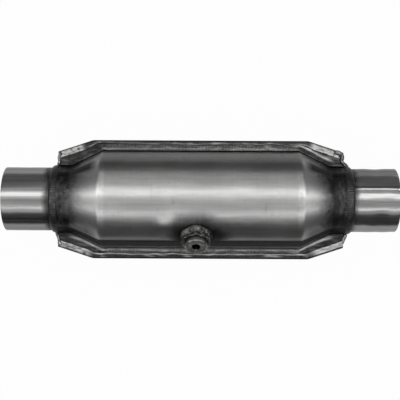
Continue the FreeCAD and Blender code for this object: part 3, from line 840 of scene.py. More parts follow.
# Moves the noise of one seam away from that of the other.
SIDE_SEED = 40.0
CORNERS = {
    (End.INLET, Side.LEFT): Corner(
        ridge_out=(4.2, 3.0),
        ridge_width=(0.8, 0.8),
        ridge_height=0.22,
        ridge_highlight=0.0,
        lip_bare=(121.0, 129.0),
        lip_slope=0.03,
    ),
    (End.INLET, Side.RIGHT): Corner(
        ridge_out=(1.5, 2.4),
        ridge_width=(2.0, 0.9),
        ridge_height=0.30,
        ridge_highlight=0.75,
        lip_bare=(112.0, 124.0),
        lip_slope=-0.08,
    ),
    (End.OUTLET, Side.LEFT): Corner(
        ridge_out=(5.4, 2.8),
        ridge_width=(0.8, 2.1),
        ridge_height=0.46,
        ridge_highlight=1.0,
        lip_bare=(113.0, 122.0),
        lip_slope=0.12,
    ),
    (End.OUTLET, Side.RIGHT): Corner(
        ridge_out=(1.5, 2.4),
        ridge_width=(2.1, 0.8),
        ridge_height=0.34,
        ridge_highlight=1.1,
        lip_bare=(114.0, 128.0),
        lip_slope=-0.12,
    ),
}


@dataclass
class ShellForm:
    """The stamped form that both half shells share, in millimetres."""

    body_radius: float = BODY_RADIUS
    collar_radius: float = 34.7
    body_end: float = 103.0
    cone_end: float = 135.0
    shell_end: float = 149.5
    shoulder: float = 5.5
    throat: float = 8.0
    rim_rise: float = 0.28
    rim_inset: float = 2.5
    rim_width: float = 2.6
    sheet: float = 1.5
    bend: float = 1.8
    hem_side: float = 62.18
    hem_side_at_end: float = 50.2
    hem_corner: float = 113.0
    corner_radius: float = 12.0
    fold_radius: float = 2.25
    lip_width: float = 4.8

    def dome_radius(self, x: float) -> float:
        """Outside radius of the dome at X, a little smaller away from the shoulder's rim."""
        rim = bell(abs(x) - self.body_end + self.rim_inset, self.rim_width)
        inside = soft_step(abs(x), self.body_end + 2.0, self.body_end - 4.0)
        return self.drawn_radius(x) - self.rim_rise * (1.0 - rim) * inside

    def drawn_radius(self, x: float) -> float:
        """Radius of the drawn form at X, with its shoulder and throat rounded."""
        away = abs(x)
        fall = self.body_radius - self.collar_radius
        slope = math.atan2(fall, self.cone_end - self.body_end)
        reach = self.shoulder * math.tan(slope / 2)
        dip = self.throat * math.tan(slope / 2)
        if away <= self.body_end - reach:
            return self.body_radius
        if away < self.body_end + reach * math.cos(slope):
            step = away - (self.body_end - reach)
            return self.body_radius - self.shoulder + math.sqrt(self.shoulder**2 - step**2)
        if away < self.cone_end - dip * math.cos(slope):
            return self.body_radius - (away - self.body_end) * math.tan(slope)
        if away < self.cone_end + dip:
            step = self.cone_end + dip - away
            return self.collar_radius + self.throat - math.sqrt(self.throat**2 - step**2)
        return self.collar_radius

    def fold_line(self, x: float) -> Pair:
        """Where the hem folds, its Y at X, and how far its way has turned, in radians."""
        away = abs(x)
        turn = math.atan2(
            self.hem_side - self.hem_side_at_end, self.shell_end - self.hem_corner
        )
        side = self.hem_side - self.fold_radius
        corner = self.hem_corner - self.fold_radius * math.tan(turn / 2)
        reach = self.corner_radius * math.tan(turn / 2)
        if away <= corner - reach:
            return side, 0.0
        if away < corner + reach * math.cos(turn):
            step = away - (corner - reach)
            rise = self.corner_radius - math.sqrt(self.corner_radius**2 - step**2)
            return side - rise, math.asin(step / self.corner_radius)
        return side - (away - corner) * math.tan(turn), turn

    def stations(self) -> list[float]:
        """Places along X for the sections, closer together round the bends."""
        bends = [each + shift for each in (self.body_end, self.cone_end) for shift in (-3.0, 3.0)]
        knots = [0.0, *bends, self.shell_end]
        places = set()
        for start, stop, count in zip(knots, knots[1:], (78, 10, 24, 10, 12)):
            places |= set(np.linspace(start, stop, count).round(4))
        return sorted({-each for each in places} | places)

    def dent(self, x: float, y: float, z: float) -> float:
        """Low, soft unevenness of the pressed dome, in millimetres."""
        fade = soft_step(abs(x), self.shell_end, self.cone_end)
        push = smooth_noise(x * 0.45, y, z, 34.0) * 0.16
        push += smooth_noise(x, y + 90.0, z, 15.0) * 0.035
        turn = math.degrees(math.atan2(y, z))
        for place, angle, reach, height in BUMPS:
            around = math.radians(turn - angle) * self.body_radius
            push += height * bell(math.hypot(x - place, around), reach)
        return push * fade


@dataclass
class HalfShell:
    """One half shell: dome, flanges and, on the lower one, the hems that hold the other."""

    half: Half
    form: ShellForm = field(default_factory=ShellForm)
    dome_steps: int = 34
    bend_steps: int = 6
    flange_steps: int = 24
    hem_steps: int = 12
    lip_steps: int = 14
    hem_rolled: Pair = (122.0, 104.0)
    right_lip_more: float = 1.1
    left_lip_less: float = 1.5
    left_lip_narrows: Pair = (-15.0, -105.0)
    end_lip_more: float = 2.6
    roll_drop: float = 0.42
    lip_curl: float = 0.20
    lip_round: tuple[Pair, ...] = ((0.0, 0.55), (0.22, 0.12), (0.62, 0.0))
    lip_streak: float = 0.22
    lip_line: float = 0.90
    lip_line_width: float = 0.62
    notch_depth: float = 1.4
    notch_start: Pair = (139.0, 142.0)
    ridge_height: float = 0.28
    left_ridge_out: float = 1.0
    right_ridge_out: float = 0.8
    ridge_width: float = 0.8
    foot_ridge_end: Pair = (106.0, 97.0)
    corner_ridge_start: Pair = (97.0, 107.0)
    corner_ridge_end: Pair = (141.0, 132.0)
    hole_radius: float = 11.7

    @staticmethod
    def corner(x: float, side: Side) -> Corner:
        """How the flange at the nearer end is pressed."""
        return CORNERS[End.OUTLET if x > 0 else End.INLET, side]

    def lip_width(self, x: float, side: Side, rolled: float) -> float:
        """Wavering width of the lip from its edge to the hem's fold.

        Args:
            x: the section's place.
            side: the seam that it lies on.
            rolled: 1 where the hem is rolled tight, 0 where it lies open at the ends.

        Returns:
            The width in millimetres.
        """
        seed = SIDE_SEED * side.value
        waver = smooth_noise(x, seed, 0.0, 13.0) * 0.9 + smooth_noise(x, seed, 9.0, 3.4) * 0.3
        waver *= 0.4 + 0.6 * rolled
        more = self.right_lip_more if side is Side.RIGHT else 0.0
        wide = self.form.lip_width + more * rolled + self.end_lip_more * (1.0 - rolled)
        if side is Side.LEFT:
            wide -= self.left_lip_less * rolled * soft_step(x, *self.left_lip_narrows)
        return wide - self.form.fold_radius + waver

    def hem_part(self, x: float, side: Side) -> Marked:
        """The hem's points from the lip's free edge round to the fold, with their marks."""
        form = self.form
        fold, turn = form.fold_line(x)
        out_x = math.sin(turn) * math.copysign(1.0, x)
        out_y = math.cos(turn)
        seed = SIDE_SEED * side.value
        corner = self.corner(x, side)
        rolled = soft_step(abs(x), *self.hem_rolled)
        bare = soft_step(abs(x), *corner.lip_bare)
        lip = self.lip_width(x, side, rolled)
        drop = rolled * self.roll_drop
        sunk = self.notch_depth * soft_step(x, *self.notch_start) if side is Side.LEFT else 0.0
        flat = len(self.lip_round) - 1
        found = []
        for step in range(self.lip_steps):
            share = max(step - flat, 0) / (self.lip_steps - 1 - flat)
            inset, low = self.lip_round[min(step, flat)]
            reach = -lip + inset + (lip - self.lip_round[flat][0]) * share
            streak = smooth_noise(x * 0.30, (reach + seed) * 1.3, 4.0, 3.0)
            curl = self.lip_curl * (1.0 - share) ** 3
            high = 2 * form.sheet + rolled * curl - drop * share + self.lip_streak * streak
            high -= low + sunk
            high -= corner.lip_slope * (reach + lip / 2) * (1.0 - rolled)
            # A painted highlight along the lip's edge, with random lighter streaks.
            edge = bell(reach + lip - self.lip_line, self.lip_line_width)
            shine = edge * (0.85 + 0.60 * smooth_noise(x, seed, 17.0, 9.0))
            shine += max(streak - 0.12, 0.0) * 1.3
            clear = 0.08 + 0.92 * rolled + 0.22 * bare * (1.0 - rolled)
            mark = {"hem": 1.0, "shine": min(shine, 1.0) * clear, "bare": bare}
            found.append(((x + out_x * reach, fold + out_y * reach, -high), mark))
        for step in range(1, self.hem_steps + 1):
            angle = math.radians(90.0 - 180.0 * step / self.hem_steps)
            reach = form.fold_radius * math.cos(angle)
            low = form.fold_radius * math.sin(angle)
            low *= 1.0 - drop / form.fold_radius if low > 0 else 1.0
            spot = (x + out_x * reach, fold + out_y * reach, -form.sheet / 2 - low)
            found.append((spot, {"hem": 1.0, "bare": bare}))
        return found

    def foot_path(self, x: float) -> float:
        """Y of the flange's foot at X with its corners drawn round."""
        form = self.form
        foot_z = form.sheet + form.bend
        places = [min(abs(x) + shift, form.shell_end) for shift in (-12.0, -6.0, 0.0, 6.0, 12.0)]
        radii = [form.dome_radius(each) + form.bend for each in places]
        feet = [math.sqrt(each**2 - foot_z**2) for each in radii]
        return max(float(np.mean(feet)), feet[2] - 0.4)

    def relief(self, x: float, y: float, side: Side, foot: float) -> Pair:
        """How the upper flange is pressed at a point of it.

        Args:
            x: the section's place.
            y: the distance from the middle.
            side: the seam that it lies on.
            foot: Y of the flange's foot.

        Returns:
            Its height over the flat sheet and its shine: a painted highlight along the ridges,
            with random lighter streaks.
        """
        corner = self.corner(x, side)
        seed = SIDE_SEED * side.value
        out = self.left_ridge_out if side is Side.LEFT else self.right_ridge_out
        fade = soft_step(abs(x), *self.foot_ridge_end)
        crest = bell(y - foot - out, self.ridge_width) * fade
        apart = float(np.interp(abs(x), (114.0, 141.0), corner.ridge_out))
        swell = bell(y - foot - apart, corner.ridge_width[0 if y < foot + apart else 1])
        swell *= soft_step(abs(x), *self.corner_ridge_start)
        swell *= soft_step(abs(x), *self.corner_ridge_end)
        streak = smooth_noise(x * 0.30, y * 1.3 + seed, 4.0, 3.0)
        slant = soft_step(abs(x), 101.0, 113.0)
        height = self.ridge_height * crest + corner.ridge_height * swell
        height += (0.10 + 0.04 * slant) * streak
        shine = crest * (0.7 + 0.6 * smooth_noise(x, seed, 27.0, 8.0))
        shine += swell * corner.ridge_highlight * (0.9 + 0.5 * smooth_noise(x, seed, 37.0, 6.0))
        shine += max(streak - 0.05, 0.0) * (1.1 - 0.8 * slant)
        return height, min(shine, 1.0)

    def flange_half(self, x: float, side: Side) -> Marked:
        """One flange from its edge or hem to the dome, drawn dome up, y outwards.

        Args:
            x: the section's place.
            side: the seam that it lies on.

        Returns:
            The section's points, each with its marks.
        """
        form = self.form
        fold, _ = form.fold_line(x)
        foot_z = form.sheet + form.bend
        foot_y = math.sqrt((form.dome_radius(x) + form.bend) ** 2 - foot_z**2)
        upper = self.half is Half.UPPER
        found = [] if upper else self.hem_part(x, side)
        edge = fold - 0.2 if upper else fold
        foot = self.foot_path(x)
        for step in range(self.flange_steps):
            share = (step + (0.0 if upper else 1.0)) / self.flange_steps
            y = edge + (foot_y - edge) * share
            if upper:
                height, shine = self.relief(x, y, side, foot)
                found.append(((x, y, form.sheet + height), {"flange": 1.0, "shine": shine}))
            else:
                found.append(((x, y, form.sheet), {"flange": 0.35}))
        way = math.atan2(foot_z, foot_y)
        for step in range(1, self.bend_steps + 1):
            angle = -math.pi / 2 - (math.pi / 2 - way) * step / self.bend_steps
            y = foot_y + form.bend * math.cos(angle)
            z = foot_z + form.bend * math.sin(angle)
            # Towards the ends the whole bend keeps the flange mark and is darkened with it:
            # painted shade.
            clean = step / self.bend_steps * soft_step(abs(x), 128.0, 118.0)
            found.append(((x, y, z), {"flange": 1.0 - clean}))
        return found

    def section(self, x: float) -> Marked:
        """The whole section at X, drawn dome up, from the +Y flange to the -Y one."""
        form = self.form
        radius = form.dome_radius(x)
        full = form.drawn_radius(x)
        start = math.asin((form.sheet + form.bend) / (radius + form.bend))
        dome = []
        for step in range(1, 2 * self.dome_steps):
            angle = start + (math.pi - 2 * start) * step / (2 * self.dome_steps)
            flush = soft_step(math.sin(angle), 0.86, 0.60) * soft_step(step, 1.0, 6.0)
            flush *= soft_step(2 * self.dome_steps - step, 1.0, 6.0)
            reach = radius + (full - radius) * flush
            dome.append(((x, reach * math.cos(angle), reach * math.sin(angle)), {}))
        left, right = Side.LEFT, Side.RIGHT
        if self.half is Half.LOWER:
            left, right = right, left
        far = [((px, -py, pz), mark) for (px, py, pz), mark in self.flange_half(x, right)]
        return self.flange_half(x, left) + dome + far[::-1]

    def trim(self, points: np.ndarray) -> None:
        """Bring the end sections, and what leans past them, onto the shell's flat ends."""
        end = self.form.shell_end
        _, turn = self.form.fold_line(end)
        for row, sign in ((0, -1.0), (-1, 1.0)):
            over = points[row, :, 0] * sign - end
            points[row, :, 1] += np.sign(points[row, :, 1]) * over * math.tan(turn)
            points[row, :, 0] = sign * end
        points[:, :, 0] = np.clip(points[:, :, 0], -end, end)

    def press(self, points: np.ndarray) -> None:
        """Push the dome's dents and bumps in, nowhere past the drawn radius."""
        form = self.form
        radius = np.hypot(points[:, :, 1], points[:, :, 2])
        dome = soft_step(points[:, :, 2], 6.0, 14.0)
        for row, column in np.argwhere(dome > 0.0):
            x, y, z = points[row, column]
            away = radius[row, column]
            push = form.dent(x, y, z * self.half.value) * dome[row, column]
            push = min(push, (form.body_radius - 0.06) * away / z - away)
            points[row, column, 1:] *= 1.0 + push / away

    def crease(self, points: np.ndarray) -> np.ndarray:
        """Painted shade on the dome low down beside the flanges and on the cones near the
        flanges.
        """
        form = self.form
        level = points[:, :, 2]
        foot = np.array([form.dome_radius(x) for x in form.stations()])[:, None]
        near = np.abs(np.hypot(points[:, :, 1], level) - foot)
        high = level * form.body_radius / foot
        on_left = points[:, :, 1] * self.half.value > 0.0
        # Painted shade low on the dome beside the flanges, different on the +Y and -Y sides.
        left = soft_step(high, 14.0, 11.0)
        left += 0.50 * soft_step(high, 36.0, 29.0) * soft_step(high, 17.0, 20.0)
        right = soft_step(high, 32.0, 28.5) * (0.35 + 0.65 * soft_step(high, 14.0, 18.0))
        low = np.where(on_left, left, right) * (level > 1.2)
        # Painted shade on the cones near the flanges.
        cone = soft_step(np.abs(points[:, :, 0]), 97.0, 114.0)
        end_darkening = 0.62 + np.where(on_left, 0.32, 0.10) * soft_step(high, 27.0, 31.0)
        edge = np.where(on_left, soft_step(high, 44.0, 37.0), soft_step(high, 45.0, 33.0))
        low = np.maximum(low, end_darkening * cone * edge)
        return np.minimum(low, 1.0) * soft_step(near, 2.4, 0.8)

    def outside(self) -> tuple[np.ndarray, dict[str, np.ndarray]]:
        """The outer surface as a grid of points, with its marks."""
        sections = [self.section(x) for x in self.form.stations()]
        points = np.array([[spot for spot, _ in each] for each in sections])
        self.trim(points)
        self.press(points)
        marks = {
            name: np.array([[mark.get(name, 0.0) for _, mark in each] for each in sections])
            for name in ("hem", "flange", "shine", "bare")
        }
        return points, marks | {"crease": self.crease(points)}

    def build(self, material: bpy.types.Material) -> None:
        """Build the half shell as a closed sheet with this finish."""
        outer, marks = self.outside()
        normals = np.cross(np.gradient(outer, axis=1), np.gradient(outer, axis=0))
        normals /= np.linalg.norm(normals, axis=2, keepdims=True)
        middle = [count // 2 for count in outer.shape[:2]]
        if normals[middle[0], middle[1], 2] < 0:
            normals = -normals
        inner = outer - normals * self.form.sheet
        end = self.form.shell_end
        inner[0, :, 0], inner[-1, :, 0] = -end, end
        inner[:, :, 0] = np.clip(inner[:, :, 0], -end, end)
        loop = np.concatenate([outer, inner[:, ::-1]], axis=1)
        rows, columns, _ = loop.shape
        faces = grid_faces(rows, columns, False, True)
        for row in (0, rows - 1):
            for column in range(outer.shape[1] - 1):
                there = columns - 1 - column
                corners = (column, column + 1, there - 1, there)
                faces.append(tuple(row * columns + each for each in corners))
        kept = {
            name: np.concatenate([numbers, numbers[:, ::-1]], axis=1)
            for name, numbers in marks.items()
        }
        points = loop.reshape(-1, 3)
        if self.half is Half.LOWER:
            points = points * np.array([1.0, -1.0, -1.0])
        piece = mesh_object(f"{self.half.word}_half_shell", points, faces, material, marks=kept)
        if self.half is Half.UPPER:
            self.cut_sensor_hole(piece)
        seat(piece, "shell_steel", f"{self.half.word}_shell")

    def cut_sensor_hole(self, piece: bpy.types.Object) -> None:
        """Cut the round hole under the sensor boss."""
        count = 48
        rings = [ring(count, always(self.hole_radius), always(level), 0.0) for level in (40, 60)]
        points = stand(np.array(rings).reshape(-1, 3)) * MM
        mesh = bpy.data.meshes.new("hole_cutter")
        mesh.from_pydata(points.tolist(), [], capped_faces(2, count))
        cutter = link_object("hole_cutter", mesh)
        cut = piece.modifiers.new("hole", "BOOLEAN")
        cut.operation = "DIFFERENCE"
        cut.solver = "EXACT"
        cut.object = cutter
        keep_result(piece, cut)
        bpy.data.objects.remove(cutter)


# ---------------------------------------------------------------- necks and their beads


@dataclass
class Neck:
    """A tube end with its welded seam, a little out of round."""

    end: End
    inner_end: float = 137.5
    mouth: float = 203.2
    outer: float = 33.1
    inner: float = 31.9
    edge: float = 0.3
    mouth_edge: float = 0.09
    seam_angle: float = 0.0
    seam_height: float = 0.0
    seam_width: float = 1.3
    waviness: float = 0.22
    wavy_from: Pair = (156.0, 176.0)
    notch: float = 0.0
    notch_length: float = 5.0

    def spot(self, x: float, radius: float, degrees: float) -> tuple[Triple, float]:
        """A point of the tube, and how strongly the seam marks it."""
        way = math.radians(degrees)
        off = way - math.radians(self.seam_angle)
        off *= self.outer
        wave = smooth_noise(x * 1.25, 22.0 * math.sin(way), 22.0 * math.cos(way), 17.0)
        reach = radius + self.waviness * wave * soft_step(x, *self.wavy_from)
        if radius > self.outer - 0.2:
            ripple = 1.0 + 0.35 * smooth_noise(x, 0.0, 0.0, 2.0)
            reach += self.seam_height * bell(off, self.seam_width) * ripple
        ragged = self.notch * bell(off + 1.0, 1.1)
        place = x - ragged * soft_step(x, self.mouth - self.notch_length, self.mouth)
        edges = bell(abs(off) - self.seam_width * 1.35, 0.45)
        line = bell(off, self.seam_width * 0.55)
        spot = (self.end.value * place, reach * math.sin(way), reach * math.cos(way))
        return spot, edges if self.seam_height > 0 else line

    def build(self, material: bpy.types.Material) -> None:
        """Build the tube with this finish from rings: outside, rounded mouth, inside."""
        start, stop, mouth = self.inner_end, self.mouth - self.edge, self.mouth
        profile = [(x, self.outer) for x in np.linspace(start, stop, 34)]
        profile += [(mouth - self.mouth_edge, self.outer - self.mouth_edge)]
        profile += [(mouth, self.outer - self.edge), (mouth, self.inner + self.edge)]
        profile += [(mouth - self.mouth_edge, self.inner + self.mouth_edge)]
        profile += [(x, self.inner) for x in np.linspace(stop, start, 20)]
        angles = [*np.linspace(-180.0, 180.0, 180, endpoint=False)]
        angles += [self.seam_angle + each for each in np.linspace(-4.6, 4.6, 25)]
        angles = sorted({round(each, 3) for each in angles})
        found = [self.spot(x, radius, degrees) for x, radius in profile for degrees in angles]
        points, seam = (np.array(each) for each in zip(*found))
        faces = grid_faces(len(profile), len(angles), True, True)
        name = f"{self.end.word}_tube"
        piece = mesh_object(name, points, faces, material, marks={"seam": seam})
        seat(piece, "neck_steel", f"{self.end.word}_neck")


@dataclass
class NeckBead:
    """The weld round a neck: a swept section with ripples, made by geometry nodes."""

    end: End
    middle: float
    width: float
    radius: float = 33.45
    height: float = 2.2
    ripples: int = 84
    ripple_height: float = 0.10

    @staticmethod
    def tree() -> GeometryTree:
        """A grid wound into a ring whose section swells with every ripple."""
        sizes = ("Middle", "Radius", "Width", "Height", "Ripples", "Ripple height")
        made = GeometryTree("neck_bead", *sizes)
        given = made.given
        inputs = {"Size X": 1.0, "Size Y": 1.0, "Vertices X": 673, "Vertices Y": 25}
        grid = made.value("GeometryNodeMeshGrid", {}, inputs)
        round_way, section = (each * (2 * math.pi) for each in made.place()[:2])
        side, crown = section.math("SINE"), section.math("COSINE")
        phase = round_way * given["Ripples"] + side * side * 1.6
        inputs = {"W": round_way * 3.0, "Scale": 1.0, "Detail": 2.0}
        slow = made.value("ShaderNodeTexNoise", {"noise_dimensions": "1D"}, inputs)
        uneven = (slow - 0.5) * 0.9
        lift = phase.math("SINE") * given["Ripple height"] + uneven * 0.00045
        reach = given["Radius"] + (crown * given["Height"] + lift * crown.most(0.0))
        x = given["Middle"] + (side * given["Width"] + uneven * 0.0006)
        y, z = (reach * round_way.math(each) for each in ("SINE", "COSINE"))
        inputs = {"Geometry": grid, "Position": made.vector(x, y, z)}
        wound = made.value("GeometryNodeSetPosition", {}, inputs)
        off = side.size() - 0.80
        crest = (off * off * -90.0).math("EXPONENT") * 0.8
        settings = {"data_type": "FLOAT", "domain": "POINT"}
        inputs = {"Geometry": wound, "Name": "crest", "Value": crest}
        kept = made.value("GeometryNodeStoreNamedAttribute", settings, inputs)
        inputs = {"Geometry": kept, "Distance": 0.000005}
        made.end(made.value("GeometryNodeMergeByDistance", {}, inputs))
        return made

    def build(self, material: bpy.types.Material, tree: GeometryTree) -> None:
        """Grow the bead at this end and seat it."""
        sizes = {
            "Middle": self.end.value * self.middle * MM,
            "Radius": self.radius * MM,
            "Width": self.width * MM,
            "Height": self.height * MM,
            "Ripples": float(self.ripples),
            "Ripple height": self.ripple_height * MM,
        }
        piece = tree.grow(f"{self.end.word}_neck_bead", material, sizes, 40.0)
        seat(piece, "weld_steel", f"{self.end.word}_neck_weld")


# Paths of the end beads: distances from the middle along X and Y, height and radius.
END_PATHS = {
    (End.INLET, Side.LEFT): (
        (149.8, 35.2, 1.0, 1.9),
        (148.3, 39.5, 1.2, 1.5),
        (148.8, 43.3, 1.4, 1.9),
        (147.6, 46.2, 1.8, 1.8),
        (146.4, 49.2, 2.0, 2.2),
    ),
    (End.INLET, Side.RIGHT): (
        (151.6, 34.6, 0.9, 1.6),
        (149.6, 38.5, 1.0, 1.9),
        (148.4, 42.0, 1.2, 1.6),
        (148.0, 45.6, 1.8, 2.2),
        (146.2, 48.6, 2.0, 2.1),
    ),
    (End.OUTLET, Side.LEFT): (
        (155.0, 34.4, 0.8, 1.3),
        (151.6, 36.6, 1.0, 2.3),
        (149.6, 39.0, 1.3, 1.8),
        (147.4, 41.4, 1.8, 1.9),
        (148.2, 44.4, 2.4, 2.4),
        (147.2, 48.0, 2.7, 2.6),
        (144.2, 50.4, 2.7, 2.3),
        (140.6, 51.0, 2.5, 1.9),
    ),
    (End.OUTLET, Side.RIGHT): (
        (152.2, 34.8, 0.8, 2.4),
        (151.0, 39.0, 1.0, 2.1),
        (149.4, 43.5, 1.2, 1.8),
        (147.0, 47.4, 1.4, 1.7),
    ),
}


@dataclass
class EndBead:
    """The lumpy bead that closes the flanges' end, laid along a short path."""

    end: End
    side: Side
    path: tuple[tuple[float, float, float, float], ...]
    lump: float = 0.20
    seed: float = 0.0
    steps: int = 64
    around: int = 28

    def rings(self) -> list[tuple[Vector, Vector, float]]:
        """Middles, sideways directions and radii along the path, with rounded ends."""
        marks = [Vector(each[:3]) for each in self.path]
        runs = [0.0]
        for start, stop in zip(marks, marks[1:]):
            runs.append(runs[-1] + (stop - start).length)
        found = []
        for step in range(self.steps + 1):
            run = runs[-1] * (0.5 - 0.5 * math.cos(math.pi * step / self.steps))
            spots = [
                Vector([float(np.interp(run + shift, runs, axis)) for axis in zip(*marks)])
                for shift in (-1.1, -0.4, 0.4, 1.1)
            ]
            way = (spots[3] - spots[0]).normalized()
            radius = float(np.interp(run, runs, [each[3] for each in self.path]))
            left = min(run, runs[-1] - run)
            if left < radius:
                radius *= math.sqrt(max(1.0 - (1.0 - left / radius) ** 2, 0.0004))
            found.append((sum(spots, Vector()) / 4, Vector((way.y, -way.x, 0.0)), radius))
        return found

    def build(self, material: bpy.types.Material) -> None:
        """Build the bead with this finish as lumpy rings along its path."""
        rings = self.rings()
        points = []
        crest = []
        for middle, sideways, radius in rings:
            for step in range(self.around):
                angle = 2 * math.pi * step / self.around
                out, up = math.cos(angle), math.sin(angle)
                bump = smooth_noise(5 * out, middle.y + self.seed, 5 * up, 2.6)
                pit = smooth_noise(7 * out, middle.y + self.seed, 7 * up, 1.4)
                reach = radius * (1.0 + self.lump * bump + self.lump * 0.4 * pit)
                spot = middle + sideways * reach * out
                height = spot.z + reach * up
                points.append((self.end.value * spot.x, self.side.value * spot.y, height))
                crest.append(max(0.0, 0.35 + bump))
        faces = capped_faces(len(rings), self.around)
        place = f"{self.end.word}_{self.side.word}"
        marks = {"crest": np.array(crest)}
        piece = mesh_object(f"{place}_bead", np.array(points), faces, material, 60.0, marks)
        seat(piece, "weld_steel", f"{place}_end_weld")


# ---------------------------------------------------------------- sensor boss and plug


@dataclass
class SensorPort:
    """The hexagonal boss with its weld, the sealing ring and the socket plug."""

    flats: float = 27.0
    boss_top: float = 57.3
    crown: float = 1.4
    foot_radius: float = 11.5
    foot_end: float = 47.8
    thread: float = 9.0
    gasket_radius: float = 12.0
    seat_top: float = 58.5
    head_radius: float = 11.5
    plug_top: float = 62.5
    head_edge: float = 1.5
    shank: float = 8.9
    shank_end: float = 46.5
    key_flats: float = 8.0
    key_depth: float = 7.0
    weld_toe: float = 19.5
    weld_height: float = 4.5
    weld_ripples: int = 19
    pitch: float = 1.5
    around: int = 96

    def hexagon(self, angle: float, flats: float, softness: float = 0.35) -> float:
        """Radius of a hexagon with softened corners, its flats facing along X."""
        near = (math.degrees(angle) + 30.0) % 60.0 - 30.0
        corner = flats / 2 / math.cos(math.radians(near))
        limit = flats / math.sqrt(3) - softness
        return corner if corner < limit else limit + (corner - limit) * 0.3

    @staticmethod
    def saddle(_x: float, y: float, above: float = 0.0) -> float:
        """Height of the body's surface, or of what lies above it, beside the sensor's axis."""
        return math.sqrt(BODY_RADIUS**2 - y * y) + above

    def ring_piece(
        self,
        name: str,
        rings: list[list[Triple]],
        material: bpy.types.Material,
        marks: dict[str, np.ndarray] | None = None,
        closed: bool = True,
        sharp: float = 32.0,
    ) -> bpy.types.Object:
        """A piece from closed rings of points drawn round Z.

        Args:
            name: the piece's name.
            rings: points ring by ring.
            material: its finish.
            marks: numbers on the points.
            closed: whether the last ring joins the first; otherwise both are capped.
            sharp: angle of the edges that stay sharp.

        Returns:
            The piece.
        """
        count, around = len(rings), len(rings[0])
        faces = grid_faces(count, around, True, True) if closed else capped_faces(count, around)
        points = stand(np.array(rings).reshape(-1, 3))
        return mesh_object(name, points, faces, material, sharp, marks)

    def build_boss(self, material: bpy.types.Material) -> None:
        """The hexagonal nut with a crowned top, a plain bore and a round foot."""
        rim, floor = self.flats / 2, self.foot_end
        nut = partial(self.hexagon, flats=self.flats)
        foot = partial(self.saddle, above=0.02)

        def top(x: float, y: float) -> float:
            """Height of the crowned top."""
            radius = math.hypot(x, y)
            fall = max(radius - rim, 0.0) * self.crown / 2.7
            return self.boss_top - fall - 0.04 * max(radius - 10.5, 0.0)

        def flank(x: float, y: float, share: float) -> float:
            """Height of the nut's side, a share of the way down to the body."""
            return top(x, y) + (self.saddle(x, y) - top(x, y)) * share

        courses = [
            (always(self.thread), always(self.boss_top - 0.6)),
            (always(self.thread + 0.6), always(self.boss_top)),
            (always(11.0), top),
            (always(rim - 0.6), top),
            (lambda angle: min(rim - 0.1, nut(angle)), top),
            (lambda angle: nut(angle) - 0.35, top),
            (nut, lambda x, y: top(x, y) - 0.3),
            (nut, partial(flank, share=0.3)),
            (nut, partial(flank, share=0.65)),
            (nut, foot),
            (always(self.foot_radius), foot),
            (always(self.foot_radius), always(floor)),
            (always(self.thread), always(floor)),
        ]
        bore = self.boss_top - 0.8 - floor
        count = int(bore / self.pitch * 2)
        for step in range(1, count + 1):
            courses.append((always(self.thread), always(floor + bore * step / (count + 1))))
        rings = [ring(144, *course) for course in courses]
        seat(self.ring_piece("hexagonal_boss", rings, material), "boss_steel", "sensor_boss")

    def build_weld(self, material: bpy.types.Material) -> None:
        """The rippled bead from the body up to the hexagon."""
        around = self.weld_ripples * 12
        rows = 15
        rings = []
        crest = []
        for row in range(rows):
            share = row / (rows - 1)
            course = []
            for step in range(around):
                angle = 2 * math.pi * step / around
                inner = self.hexagon(angle, self.flats) - 0.15
                out, up = math.cos(angle), math.sin(angle)
                slow = smooth_noise(14 * out, 14 * up, 2.0, 7.0)
                lump = smooth_noise(16 * out, 16 * up, 7 * share, 3.2)
                speck = smooth_noise(18 * out, 18 * up, 9 * share, 1.5)
                outer = self.weld_toe + 0.8 * slow - 0.9 * abs(up) ** 4
                outer = min(outer, self.hexagon(angle, 2 * self.weld_toe - 5.0, 1.8))
                wave = 0.5 + 0.5 * math.sin(self.weld_ripples * angle + 5.0 * slow + 2.0 * share)
                radius = outer + (inner - outer) * share + (wave - 0.5) * 0.12 * (1 - share)
                x, y = radius * out, radius * up
                rise = self.weld_height * (1.0 - (1.0 - share) ** 1.75)
                swell = math.sin(math.pi * min(share * 1.15, 1.0))
                height = rise + swell * (0.07 * wave + 0.60 * lump + 0.25 * speck - 0.1)
                course.append((x, y, self.saddle(x, y, height if row else -0.15)))
                rim = bell(share - 0.92, 0.06)
                # Painted highlight on the part of the bead that faces up.
                upper_highlight = bell(share - 0.45, 0.34) * min(max(up - 0.15, 0.0), 0.55)
                upper_highlight *= 0.42 + lump + speck
                crest.append(max(rim * (0.4 + lump), 0.7 * (lump - 0.2), upper_highlight, 0.0))
            rings.append(course)
        foot = partial(self.saddle, above=0.02)
        rings.append(ring(around, lambda a: self.hexagon(a, self.flats) - 0.15, foot, 0.0))
        rings.append(ring(around, always(self.weld_toe - 1.0), foot, 0.0))
        marks = {"crest": np.array(crest + [0.0] * (2 * around))}
        piece = self.ring_piece("boss_bead", rings, material, marks, sharp=70.0)
        seat(piece, "weld_steel", "sensor_boss_weld")

    def turned(self, profile: list[Pair]) -> list[list[Triple]]:
        """Rings of a profile of radii and heights."""
        return [ring(self.around, always(radius), always(high)) for radius, high in profile]

    def build_gasket(self, material: bpy.types.Material) -> None:
        """The crushed sealing ring."""
        low, high, far = self.boss_top, self.seat_top, self.gasket_radius
        profile = [
            (self.thread, low),
            (far - 0.35, low),
            (far - 0.1, low + 0.12),
            (far, low + 0.35),
            (far, high - 0.35),
            (far - 0.1, high - 0.12),
            (far - 0.35, high),
            (self.thread, high),
        ]
        piece = self.ring_piece("sealing_ring", self.turned(profile), material)
        seat(piece, "gasket_steel", "plug_gasket")

